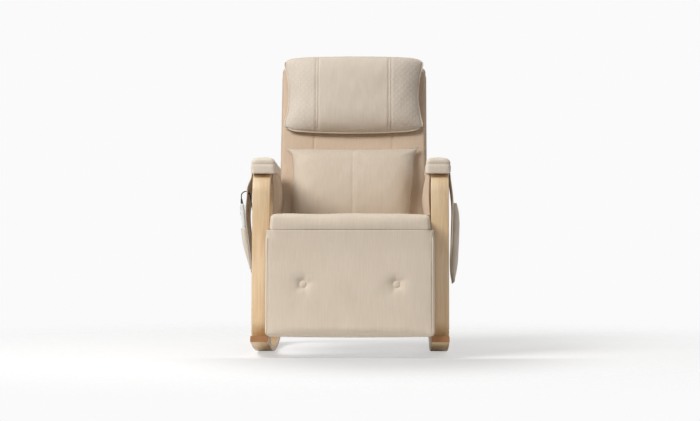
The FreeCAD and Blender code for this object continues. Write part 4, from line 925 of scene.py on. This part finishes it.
# Head pillow and lumbar pillow: two covers sewn together at the rim.
def sewn_pillow(name, columns, rows, spot):
    """Front and rear covers over a grid of u, v from -1 to 1, sharing their rim."""
    u = np.linspace(-1, 1, columns)
    v = np.linspace(-1, 1, rows)
    grid_u, grid_v = np.meshgrid(u, v)
    front = spot(grid_u, grid_v, 0).reshape(-1, 3)
    rear = spot(grid_u, grid_v, 1).reshape(-1, 3)
    verts = list(front)
    back_index = {}
    for j in range(rows):
        for i in range(columns):
            if 0 < i < columns - 1 and 0 < j < rows - 1:
                back_index[i, j] = len(verts)
                verts.append(rear[j * columns + i])
            else:
                back_index[i, j] = j * columns + i
    faces = []
    for j in range(rows - 1):
        for i in range(columns - 1):
            a = j * columns + i
            faces.append((a, a + 1, a + 1 + columns, a + columns))
            ring = [back_index[i, j], back_index[i, j + 1], back_index[i + 1, j + 1], back_index[i + 1, j]]
            faces.append(tuple(ring))
    piece = mesh_object(name, verts, faces)
    rim = [front[i] for i in range(columns)]
    rim += [front[j * columns + columns - 1] for j in range(1, rows)]
    rim += [front[(rows - 1) * columns + i] for i in range(columns - 2, -1, -1)]
    rim += [front[j * columns] for j in range(rows - 2, 0, -1)]
    return piece, rim


def near_rim(points, rim):
    """Which points lie beside a pillow's rim."""
    gaps = np.linalg.norm(points[:, None, :] - np.array(rim)[None, ::2, :], axis=2)
    return np.min(gaps, axis=1) < 0.004


HEAD_MIDDLE = 0.531
HEAD_HALF_WIDTH = 0.246
HEAD_HALF_HEIGHT = 0.127
HEAD_REAR = -0.1082
HEAD_SEAM = 0.126
HEAD_SEAM_ROWS = (HEAD_SEAM - 0.0045, HEAD_SEAM + 0.0045)


def head_spot(u, v, rear):
    """Points of the head pillow in the back's frame: a narrower waist, and a fuller lower face."""
    waist = 0.092 * (1 - v**2) ** 1.2
    corner = (np.abs(u) * np.abs(v)) ** 12
    rounded = np.where(v > 0, 0.010, 0.017) * corner
    x = HEAD_HALF_WIDTH * u * (1 - waist * np.abs(u) ** 1.5) - np.sign(u) * rounded
    z = HEAD_MIDDLE + HEAD_HALF_HEIGHT * v + np.where(v > 0, 0.006, 0.012) * v * (1 - u**2)
    z = z - np.sign(v) * rounded
    upper = (1 - v**4) ** 0.5
    lower = (1 - np.abs(v) ** 5) ** 0.75
    body = (1 - np.abs(u) ** 3.6) ** 0.75 * np.where(v > 0, upper, lower)
    rim_depth = -0.141 + 0.008 * np.abs(u) ** 6 - 0.020 * v
    if rear:
        full = (1 - np.abs(u) ** 9) ** 0.5 * (1 - np.abs(v) ** 9) ** 0.5
        y = np.minimum(rim_depth + 0.075 * full, HEAD_REAR)
        z = z - 0.012 * np.abs(v) * (v < -0.6) * body
    else:
        y = rim_depth - 0.045 * body
    return np.stack([x, y, z], axis=-1)


head, head_rim = sewn_pillow("head_pillow_cover", 101, 61, head_spot)
points = read_points(head.data)
on_seam = np.abs(np.abs(points[:, 0]) - HEAD_SEAM) < 0.005
pinned = near_rim(points, head_rim) | (points[:, 1] > -0.116) | on_seam
puff(head, cap=0.006, pinned=pinned, pressure=3.0)
subdivide(head)
points = read_points(head.data)
front = np.clip((-read_points(head.data, "normal")[:, 1] - 0.1) / 0.3, 0, 1)
seam = sum(bell(np.abs(points[:, 0]) - across, 0.0026) for across in HEAD_SEAM_ROWS)
push(head, (-0.0022 * seam + 0.0012 * waves(points, pitch=0.12, seed=11)) * front)
for face in head.data.polygons:
    outer = abs(face.center.x) > HEAD_SEAM and face.normal.y < 0
    face.material_index = 1 if outer else 0
head.data.transform(BACK)
head.data.materials.append(PILLOW)
head.data.materials.append(MESHED)
place_piece(head, "backrest", None, ("head_pillow",))
head_tree = surface_of(head)
rows = []
for across in HEAD_SEAM_ROWS:
    for side in (-1, 1):
        column = upright(BACK, side * across, -0.26, start=0.396, step=0.0045, count=58)
        rows.append(laid_on(head_tree, column, into_back))
stitch("head_pillow_stitches", rows, "backrest")
pipe = tube("head_pillow_piping", [BACK @ Vector(p) for p in head_rim], radius=0.0026, closed=True)
place_piece(pipe, "backrest", PIPING)


LUMBAR_MIDDLE = 0.184
LUMBAR_HALF_WIDTH = 0.206
LUMBAR_HALF_HEIGHT = 0.148
LUMBAR_REAR = -0.1048


def lumbar_spot(u, v, rear):
    """Points of the lumbar pillow in the back's frame: its two upper corners are drawn out."""
    ear = (np.abs(u) * np.clip(v, 0, 1)) ** 12
    half = LUMBAR_HALF_WIDTH + 0.012 * np.clip(v - 0.2, 0, 1) ** 2
    half = half - np.where(u > 0, 0.012 * np.clip(0.3 - v, 0, 1.3), 0)
    x = half * u + np.where(u > 0, 0.016, -0.025) * ear
    z = LUMBAR_MIDDLE + LUMBAR_HALF_HEIGHT * v * (1 - 0.02 * (1 - u**2) * np.abs(v)) + 0.011 * ear
    sides = (1 - np.abs(u) ** 6) ** 0.55
    body = sides * (1 - np.abs(v) ** 2.6) ** 0.65 * (1 - 0.6 * ear)
    rim_depth = -0.120 + 0.008 * ear
    if rear:
        y = np.minimum(rim_depth + 0.03 * body, LUMBAR_REAR)
    else:
        y = rim_depth - 0.070 * body
    return np.stack([x, y, z], axis=-1)


lumbar, lumbar_rim = sewn_pillow("lumbar_pillow_cover", 81, 57, lumbar_spot)
points = read_points(lumbar.data)
on_seam = np.abs(points[:, 0]) < 0.003
pinned = near_rim(points, lumbar_rim) | (points[:, 1] > -0.108) | on_seam
puff(lumbar, cap=0.006, pinned=pinned, pressure=3.0)
subdivide(lumbar)
points = read_points(lumbar.data)
x, y, z = points.T
front = np.clip((-y - 0.112) / 0.02, 0, 1)
share_u = np.abs(x / 0.215)
share_v = (z - LUMBAR_MIDDLE) / 0.150
ears = np.exp(-((share_u - 0.84) ** 2 + (share_v - 0.78) ** 2) / 0.018)
crease = ears * np.sin(26 * (share_u - share_v))
folds = bell(x - 0.006, 0.05) * np.cos(x * 330)
filling = 0.0016 * waves(points, pitch=0.13, seed=21)
move = -0.0016 * bell(x, 0.005) + filling + 0.0012 * crease + 0.0002 * folds
push(lumbar, move * front)
lumbar.data.transform(BACK)
# Painted shade: the lumbar pillow and its seam take the darker copy of the beige cloth.
place_piece(lumbar, "backrest", SHADED_LUMBAR_CLOTH, ("lumbar_pillow",))
pipe = tube("lumbar_pillow_seam", [BACK @ Vector(p) for p in lumbar_rim], radius=0.0012, closed=True)
place_piece(pipe, "backrest", SHADED_LUMBAR_CLOTH)


# Seat cushion with its front roll.
PIVOT = REST.translation.copy()
to_seat = SEAT.inverted()


def in_seat(ahead, up):
    """A place given by how far ahead of the footrest's pivot it is and how far above."""
    spot = to_seat @ (PIVOT + Vector((0, -ahead, up)))
    return (spot.y, spot.z)


SEAT_HALF_WIDTH = 0.2535
SEAT_EDGE_SEAM = 0.249
HOLLOW_RADIUS = 0.0430
HOLLOW_STEPS = 9
hollow = []
for k in range(HOLLOW_STEPS):
    turn = math.radians(62 + 7.5 * k)
    hollow.append(in_seat(HOLLOW_RADIUS * math.cos(turn), HOLLOW_RADIUS * math.sin(turn)))
seat_corners = [
    in_seat(0.033, 0.0384),
    *hollow,
    (-0.009, 0.034),
    (-0.009, 0.0155),
    (0.367, 0.0155),
    (0.367, 0.084),
    (-0.087, 0.086),
]
seat_outline = corner_points(seat_corners, (0.005, *(0,) * HOLLOW_STEPS, 0, 0, 0.012, 0.02, 0.020))
seat = prism("seat_upholstery", seat_outline, -SEAT_HALF_WIDTH, SEAT_HALF_WIDTH, rim=0.006)
voxel_remesh(seat, size=0.0065)
x, y = read_points(seat.data).T[:2]
facing_down = read_points(seat.data, "normal")[:, 2] < -0.3
on_seam = np.abs(np.abs(x) - 0.250) < 0.005
puff(seat, cap=0.008, pinned=facing_down | on_seam | (y > 0.33))
subdivide(seat)
points = read_points(seat.data)
x, y = points.T[:2]
upward = read_points(seat.data, "normal")[:, 2]
top = np.clip(upward, 0, 1)
edge_seam = bell(np.abs(x) - SEAT_EDGE_SEAM, 0.0025) * (upward > -0.4)
roll_seam = bell(y + 0.030, 0.004) * top
uneven = np.sin(x * 21 + 0.7) + 0.6 * np.sin(x * 37 + 2.0)
filling = 0.0012 * waves(points, pitch=0.15, seed=31) + 0.0011 * uneven
push(seat, -0.0022 * edge_seam - 0.002 * roll_seam + top * filling)
# The roll's ends bulge a little to the sides, more so towards its lower edge.
points = read_points(seat.data)
x, y, z = points.T
ahead = np.clip((-0.022 - y) / 0.040, 0, 1)
points[:, 0] = x * (1 + ahead * (0.012 + 0.014 * np.clip((0.075 - z) / 0.040, 0, 1)))
write_points(seat.data, points)
seat.data.transform(SEAT)
place_piece(seat, "chair_frame", BEIGE, ("seat_cushion",))
seat_tree = surface_of(seat)
down_way = turned(SEAT, (0, 0, -1))
row = [SEAT @ Vector((-0.235 + 0.0047 * k, -0.026, 0.14)) for k in range(101)]
stitch("seat_roll_stitches", [laid_on(seat_tree, row, down_way)], "chair_frame")


# Footrest cushion, with two buttons pulled into its face.
REST_HALF_WIDTH = 0.2715
REST_END = -0.304
REST_EDGE_SEAM = 0.265
FACE_REACH = 0.0362
TUFT_ACROSS = 0.150
TUFT_DROP = -0.139
cap_ring = []
for k in range(25):
    turn = math.radians(-8 + 188 * k / 24)
    bulge = np.interp(math.degrees(math.pi - turn), (0, 48, 88), (0.0385, 0.0385, 0.0335))
    radius = float(bulge) if turn > math.radians(92) else 0.032
    cap_ring.append((radius * math.cos(turn), radius * math.sin(turn)))
rest_corners = [(-0.034, REST_END), (0.0325, REST_END), (0.031, 0.0), (-0.031, 0.0)]
rest_outline = cap_ring + corner_points(rest_corners, (0.009, 0.016, 0, 0))[:-2]
rest = prism("footrest_upholstery", rest_outline, -REST_HALF_WIDTH, REST_HALF_WIDTH, rim=0.008)
voxel_remesh(rest, size=0.0065)
x, y = read_points(rest.data).T[:2]
on_seam = (np.abs(np.abs(x) - 0.266) < 0.004) & (y < -0.015)
puff(rest, cap=0.005, pinned=(y > 0.012) | on_seam, pressure=3.0)
subdivide(rest)
points = read_points(rest.data)
x, y, z = points.T
facing = np.clip((-y - 0.010) / 0.012, 0, 1)
beside_tuft = np.abs(x) - TUFT_ACROSS
above_tuft = z - TUFT_DROP
from_tuft = np.hypot(beside_tuft, above_tuft)
pleats = np.cos(5 * np.arctan2(above_tuft, beside_tuft) + 0.6) * bell(from_tuft - 0.024, 0.012)
dimple = 0.0070 * bell(from_tuft, 0.038) + 0.0085 * bell(from_tuft, 0.016)
edge_seam = bell(np.abs(x) - REST_EDGE_SEAM, 0.0025)
move = 0.0007 * pleats - dimple - 0.0020 * edge_seam
push(rest, (move + 0.0009 * waves(points, pitch=0.17, seed=41)) * facing)
# The face stays within a reach ahead of the pivot, which grows towards the lower end.
points = read_points(rest.data)
y, z = points.T[1:]
lower = np.clip((-z - 0.030) / 0.150, 0, 1)
most = FACE_REACH + 0.0105 * lower**1.6
most = np.where(z > 0, np.sqrt(np.maximum(FACE_REACH**2 - z**2, 0)), most)
reach = (most - y) / 2 - np.sqrt(((most + y) / 2) ** 2 + 0.0012**2)
points[:, 1] = np.where(y < -0.020, -reach, y)
write_points(rest.data, points)
rest.data.transform(REST)
place_piece(rest, "footrest", BEIGE, ("footrest_cushion",))
rest_tree = surface_of(rest)
into_rest = turned(REST, (0, 1, 0))
rows = []
for side in (-1, 1):
    column = upright(REST, side * 0.2610, -0.12, start=0.02, step=-0.005, count=61)
    rows.append(laid_on(rest_tree, column, into_rest, lift=0.0002))
stitch("footrest_stitches", rows, "footrest")
BUTTON_RADIUS = 0.0140
BUTTON_FLATNESS = 0.42
for side_name, side in SIDES:
    column = upright(REST, side * 0.2665, -0.12, start=0.026, step=-0.005, count=65)
    edge = laid_on(rest_tree, column, into_rest, lift=0.0004)
    pipe = tube(side_name + "_footrest_piping", edge, radius=0.0016)
    place_piece(pipe, "footrest", PIPING)
    ahead_of_tuft = REST @ Vector((side * TUFT_ACROSS, -0.12, TUFT_DROP))
    dimple_floor = REST.inverted() @ laid_on(rest_tree, [ahead_of_tuft], into_rest, lift=0.0)[0]
    form = bmesh.new()
    bmesh.ops.create_uvsphere(form, u_segments=32, v_segments=16, radius=BUTTON_RADIUS)
    bmesh.ops.rotate(form, verts=form.verts, cent=(0, 0, 0), matrix=Matrix.Rotation(math.pi / 2, 3, "X"))
    for vert in form.verts:
        vert.co.y *= BUTTON_FLATNESS
        vert.co += Vector((side * TUFT_ACROSS, dimple_floor.y - 0.001, TUFT_DROP))
    button = object_from(form, side_name + "_footrest_button")
    button.data.transform(REST)
    replaced = ("footrest_buttons",) if side < 0 else ()
    place_piece(button, "footrest", BEIGE, replaced)


# Cloth strips, flaps and pockets.
def thick_sheet(name, grid, thickness, place):
    """A cloth of even thickness over a grid of points in a local frame."""
    rows, columns = grid.shape[:2]
    faces = []
    for j in range(rows - 1):
        for i in range(columns - 1):
            a = j * columns + i
            faces.append((a, a + 1, a + 1 + columns, a + columns))
    piece = mesh_object(name, grid.reshape(-1, 3), faces)
    body = piece.modifiers.new("thickness", "SOLIDIFY")
    body.thickness = thickness
    body.offset = 0
    body.use_even_offset = True
    apply_modifiers(piece)
    face_outwards(piece)
    piece.data.transform(place)
    return piece


# A cloth strip covers the joint between the seat's roll and the footrest.
def front_of(tree, x, z):
    """How far back a surface begins at a place seen from the front, or nothing."""
    spot, normal, index, gone = tree.ray_cast(Vector((x, -0.7, z)), Vector((0, 1, 0)), 0.5)
    return spot.y if spot is not None else None


strip_x = np.linspace(-0.2690, 0.2690, 55)
strip_up = np.linspace(0.0410, -0.0500, 37)
strip_y = np.zeros((len(strip_up), len(strip_x)))
for i, x in enumerate(strip_x):
    middle = front_of(rest_tree, x, PIVOT.z)
    lips = [front_of(seat_tree, x, PIVOT.z + rise) for rise in (0.043, 0.046, 0.049)]
    lips = [lip for lip in lips if lip is not None]
    top = min(lips) + 0.0005 if lips else middle + strip_up[0] * math.tan(math.radians(LEG_LEAN))
    for j, up in enumerate(strip_up):
        if up > 0:
            strip_y[j, i] = middle + (top - middle) * up / strip_up[0]
        else:
            strip_y[j, i] = front_of(rest_tree, x, PIVOT.z + up) - up * 0.016
grid_x, grid_up = np.meshgrid(strip_x, strip_up)
strip = np.stack([grid_x, strip_y, PIVOT.z + grid_up], axis=-1)
joint_cover = thick_sheet("footrest_joint_cloth", strip, thickness=0.0010, place=Matrix())
joint_cover.data.materials.append(BEIGE)
smooth_faces(joint_cover)
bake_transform(joint_cover)


def line_at(line, rises):
    """How far out a hanging line is at each height, smoothed over its corners."""
    heights = np.array([rise for out, rise in line])[::-1]
    outs = np.array([out for out, rise in line])[::-1]
    total = 0
    for shift in (-0.012, -0.006, 0, 0.006, 0.012):
        total = total + np.interp(rises + shift, heights, outs)
    return total / 5


FLAP_LINES = {
    "right": (
        (0.325, 0.010), (0.326, -0.006), (0.341, -0.034), (0.341, -0.066), (0.345, -0.100), (0.3455, -0.126),
        (0.3435, -0.158), (0.339, -0.190), (0.333, -0.232), (0.328, -0.272), (0.326, -0.316),
    ),
    "left": (
        (0.324, 0.010), (0.325, -0.008), (0.330, -0.040), (0.334, -0.078), (0.335, -0.110), (0.334, -0.150),
        (0.332, -0.205), (0.329, -0.270), (0.3305, -0.315), (0.337, -0.348),
    ),
}
POCKET_LINES = {
    "right": ((0.3638, -0.170), (0.3595, -0.213), (0.351, -0.248), (0.341, -0.280), (0.333, -0.304)),
    "left": (
        (0.348, -0.088), (0.356, -0.112), (0.3585, -0.150), (0.356, -0.220), (0.3525, -0.285),
        (0.347, -0.318), (0.3405, -0.345),
    ),
}
POCKET_SPANS = {"right": (0.012, 0.108), "left": (0.012, 0.234)}
FLAP_SPAN = (0.008, 0.246)
CLOTH = 0.003
POCKET_CLOTH = 0.0024
POCKET_GAP = 0.0013
PAD_SEAM = 0.0370
INNER_SPAN = (0.012, 0.300)
INNER_DROP = (0.0098, -0.130)
POCKET_NODES = {"right": "remote_pocket", "left": "magazine_pocket"}


def arm_padding(side_name, side):
    """The pad on an arm, made for the left arm and mirrored for the right one."""
    section = box_outline(0.245, 0.327, 0.0108, 0.0575, (0.004, 0.004, 0.020, 0.020))
    pad = prism(side_name + "_arm_padding", section, -0.060, 0.322, rim=0.013, axis="y", rim_above=0.013)
    voxel_remesh(pad, size=0.0045)
    height = read_points(pad.data)[:, 2]
    facing_down = read_points(pad.data, "normal")[:, 2] < -0.6
    puff(pad, cap=0.005, pinned=facing_down | (np.abs(height - PAD_SEAM) < 0.003))
    subdivide(pad)
    points = read_points(pad.data)
    height = points[:, 2]
    wall = (height > 0.016) & (height < 0.052)
    push(pad, -0.0020 * bell(height - PAD_SEAM, 0.0026) * wall + 0.0008 * waves(points, pitch=0.11, seed=51))
    points = read_points(pad.data)
    nose = np.clip(-points[:, 1] / 0.060, 0, 1) ** 1.5
    points[:, 2] -= 0.0075 * nose * np.clip((0.045 - points[:, 2]) / 0.030, 0, 1)
    points[:, 0] *= side
    write_points(pad.data, points)
    if side < 0:
        pad.data.flip_normals()
    pad.data.transform(ARM)
    # Painted light: the pad takes the lighter copy of the beige cloth.
    place_piece(pad, "chair_frame", LIT_PAD_CLOTH, (side_name + "_arm_pad",))


def inner_flap(side_name, side):
    """The flap inside an arm, which sways inwards and turns outwards at its front edge."""
    grid_y, grid_z = np.meshgrid(np.linspace(*INNER_SPAN, 37), np.linspace(*INNER_DROP, 25))
    share = (0.010 - grid_z) / 0.140
    sway = 0.0095 * np.sin(math.pi * share) + 0.0014 * np.sin(grid_y * 46) * share
    turn_out = 0.0110 * bell(grid_y - INNER_SPAN[0], 0.022)
    out = 0.2487 - sway * (1 - turn_out / 0.0160) + turn_out
    inner = np.stack([side * out, grid_y, grid_z], axis=-1)
    flap = thick_sheet(side_name + "_inner_cloth", inner, thickness=0.0033, place=ARM)
    # Painted shade: the flap takes the darker, warmer back cloth for the shade under the arm.
    place_piece(flap, "chair_frame", BACK_CLOTH_AND_FLAP_SHADE, (side_name + "_inner_flap",))


def outer_flap(side_name, side):
    """The flap outside an arm, along the line in which it hangs."""
    line = FLAP_LINES[side_name]
    drop = np.linspace(line[0][1], line[-1][1], 57)
    grid_y, grid_z = np.meshgrid(np.linspace(*FLAP_SPAN, 33), drop)
    out = line_at(line, grid_z) + CLOTH / 2
    outer = np.stack([side * out, grid_y, grid_z], axis=-1)
    drape = thick_sheet(side_name + "_outer_cloth", outer, thickness=CLOTH, place=ARM)
    place_piece(drape, "chair_frame", BEIGE, (side_name + "_outer_flap",))


def pocket(side_name, side):
    """The pocket on an outer flap, open at its top edge and sewn down at its other three."""
    line = POCKET_LINES[side_name]
    low, high = POCKET_SPANS[side_name]
    node = POCKET_NODES[side_name]
    drop = np.linspace(line[0][1], line[-1][1], 41)
    share, grid_z = np.meshgrid(np.linspace(-1, 1, 41), drop)
    grid_y = (low + high) / 2 + (high - low) / 2 * share
    near = line_at(FLAP_LINES[side_name], grid_z) + CLOTH + POCKET_GAP
    far = line_at(line, grid_z) - POCKET_GAP
    shoulder = (1 - np.abs(share) ** 8) ** 0.5
    out = near + (np.maximum(far, near) - near) * shoulder
    patch = np.stack([side * out, grid_y, grid_z], axis=-1)
    piece = thick_sheet(node + "_cloth", patch, thickness=POCKET_CLOTH, place=ARM)
    place_piece(piece, "chair_frame", POCKET, (node,))
    lift = turned(ARM, (side, 0, 0)) * 0.0016
    hem = [ARM @ Vector(p) + lift for p in patch[1, 1:-1]]
    stitch(node + "_hem", [hem], "chair_frame")


for side_name, side in SIDES:
    arm_padding(side_name, side)
    inner_flap(side_name, side)
    outer_flap(side_name, side)
    pocket(side_name, side)


# The cloth that carries the head pillow over the top of the back.
STRAP_HALF_WIDTH = 0.149
strap_line = hoop(-0.1059, 0.0599, 0.545, 0.6669, step=0.008)
across = np.linspace(-STRAP_HALF_WIDTH, STRAP_HALF_WIDTH, 31)
strap = np.array([[(x, y, z) for x in across] for y, z in strap_line])
strap_cloth = thick_sheet("head_flap_cloth", strap, thickness=0.0028, place=BACK)
place_piece(strap_cloth, "backrest", BEIGE, ("head_pillow_flap",))


# A cloth band closes the back's sides and top, between the cushion and the rear cover.
band_line = hoop(-0.2491, 0.2491, 0.126, 0.6573, step=0.012)
band_depth = np.linspace(-0.0160, 0.0142, 9)
band_grid = np.array([[(x, y, z) for y in band_depth] for x, z in band_line])
band = thick_sheet("back_boxing_band", band_grid, thickness=0.0014, place=BACK)
place_piece(band, "backrest", BACK_CLOTH_AND_FLAP_SHADE)
rows = [upright(BACK, side * 0.2500, 0.0112, start=0.130, step=0.010, count=52) for side in (-1, 1)]
stitch("back_band_stitches", rows, "backrest")
COVER_FACE = 0.0583
COVER_SEAM_LOW = 0.056
COVER_SEAMS = (-0.232, -0.226, 0.232, 0.226)
rows = [upright(BACK, x, COVER_FACE, start=COVER_SEAM_LOW, step=0.010, count=59) for x in COVER_SEAMS]
rows.append([BACK @ Vector((COVER_SEAMS[0] + 0.008 * k, COVER_FACE, COVER_SEAM_LOW)) for k in range(59)])
stitch("rear_cover_stitches", rows, "backrest")


# Floor: it glows for the camera only, with a painted soft shade that lowers the glow in front of the chair,
# and fades into the background.
SHADE_CENTRE = (0.13, -0.30)
SHADE_RADII = (0.80, 1.35)
floor = mesh_object("floor", [(-6, -6, 0), (6, -6, 0), (6, 6, 0), (-6, 6, 0)], [(0, 1, 2, 3)])
floor_look, tree, shader = new_material(
    "floor_white", Roughness=0.8, Specular_IOR_Level=0.1, Emission_Color=(1, 1, 1, 1)
)
camera_ray = add_node(tree, "LightPath").outputs["Is Camera Ray"]
feed(tree, shader.inputs["Base Color"], calculate(tree, "MULTIPLY_ADD", camera_ray, -0.38, 0.86))
place = object_place(tree)
ahead = add_node(tree, "SeparateXYZ", Vector=place).outputs["Y"]
# Painted shade: an oval ahead of the chair where the floor's glow is lowered, standing in for a soft shadow.
shade_start = map_range(tree, ahead, -0.36, -0.53, easing="SMOOTHSTEP")
scales = (1 / SHADE_RADII[0], 1 / SHADE_RADII[1], 0)
shift = (-SHADE_CENTRE[0] / SHADE_RADII[0], -SHADE_CENTRE[1] / SHADE_RADII[1], 0)
oval = calculate(tree, "MULTIPLY_ADD", place, scales, shift, kind="VectorMath")
apart = calculate(tree, "LENGTH", oval, kind="VectorMath", output="Value")
shade = calculate(tree, "MULTIPLY", shade_start, map_range(tree, apart, 1.0, 0.25, easing="SMOOTHSTEP"))
strength = calculate(tree, "MULTIPLY_ADD", shade, -0.30, 0.50)
feed(tree, shader.inputs["Emission Strength"], calculate(tree, "MULTIPLY", camera_ray, strength))
reach = calculate(tree, "LENGTH", place, kind="VectorMath", output="Value")
fade = map_range(tree, reach, 0.5, 2.2, easing="SMOOTHSTEP")
clear = add_node(tree, "BsdfTransparent")
mix_shaders(tree, fade, shader.outputs[0], clear.outputs[0], tree.nodes["Material Output"])
floor.data.materials.append(floor_look)


# Light and background.
def lamp(name, spot, aim, size, power):
    data = bpy.data.lights.new(name, "AREA")
    data.size = size
    data.energy = power
    made = add_object(name, data)
    made.location = spot
    made.rotation_euler = (Vector(aim) - Vector(spot)).to_track_quat("-Z", "Y").to_euler()


lamp("key", (-2.9, -2.5, 3.9), (0, -0.1, 0.5), size=2.4, power=235)
lamp("front", (0.6, -6.0, 0.9), (0, 0, 0.4), size=2.0, power=30)
lamp("side", (4.0, 0.8, 1.6), (0, 0, 0.5), size=2.5, power=34)

world = bpy.data.worlds.new("studio")
world.use_nodes = True
scene.world = world
tree = world.node_tree
ambient = tree.nodes["Background"]
ambient.inputs["Strength"].default_value = 1.0
sky = add_node(tree, "TexCoord").outputs["Generated"]
sky_ramp = add_node(tree, "ValToRGB")
sky_low, sky_high = sky_ramp.color_ramp.elements
sky_low.position = 0.0
sky_low.color = (0.05, 0.034, 0.023, 1)
sky_high.position = 0.9
sky_high.color = (0.37, 0.36, 0.35, 1)
feed(tree, sky_ramp.inputs[0], add_node(tree, "SeparateXYZ", Vector=sky).outputs["Z"])
feed(tree, ambient.inputs["Color"], sky_ramp.outputs[0])
seen = add_node(tree, "Background", Color=(0.956, 0.956, 0.956, 1))
rays = add_node(tree, "LightPath").outputs
straight = calculate(tree, "MAXIMUM", rays["Is Camera Ray"], rays["Is Transmission Ray"])
shown = calculate(tree, "MAXIMUM", straight, rays["Is Glossy Ray"])
mix_shaders(tree, shown, ambient.outputs[0], seen.outputs[0], tree.nodes["World Output"])
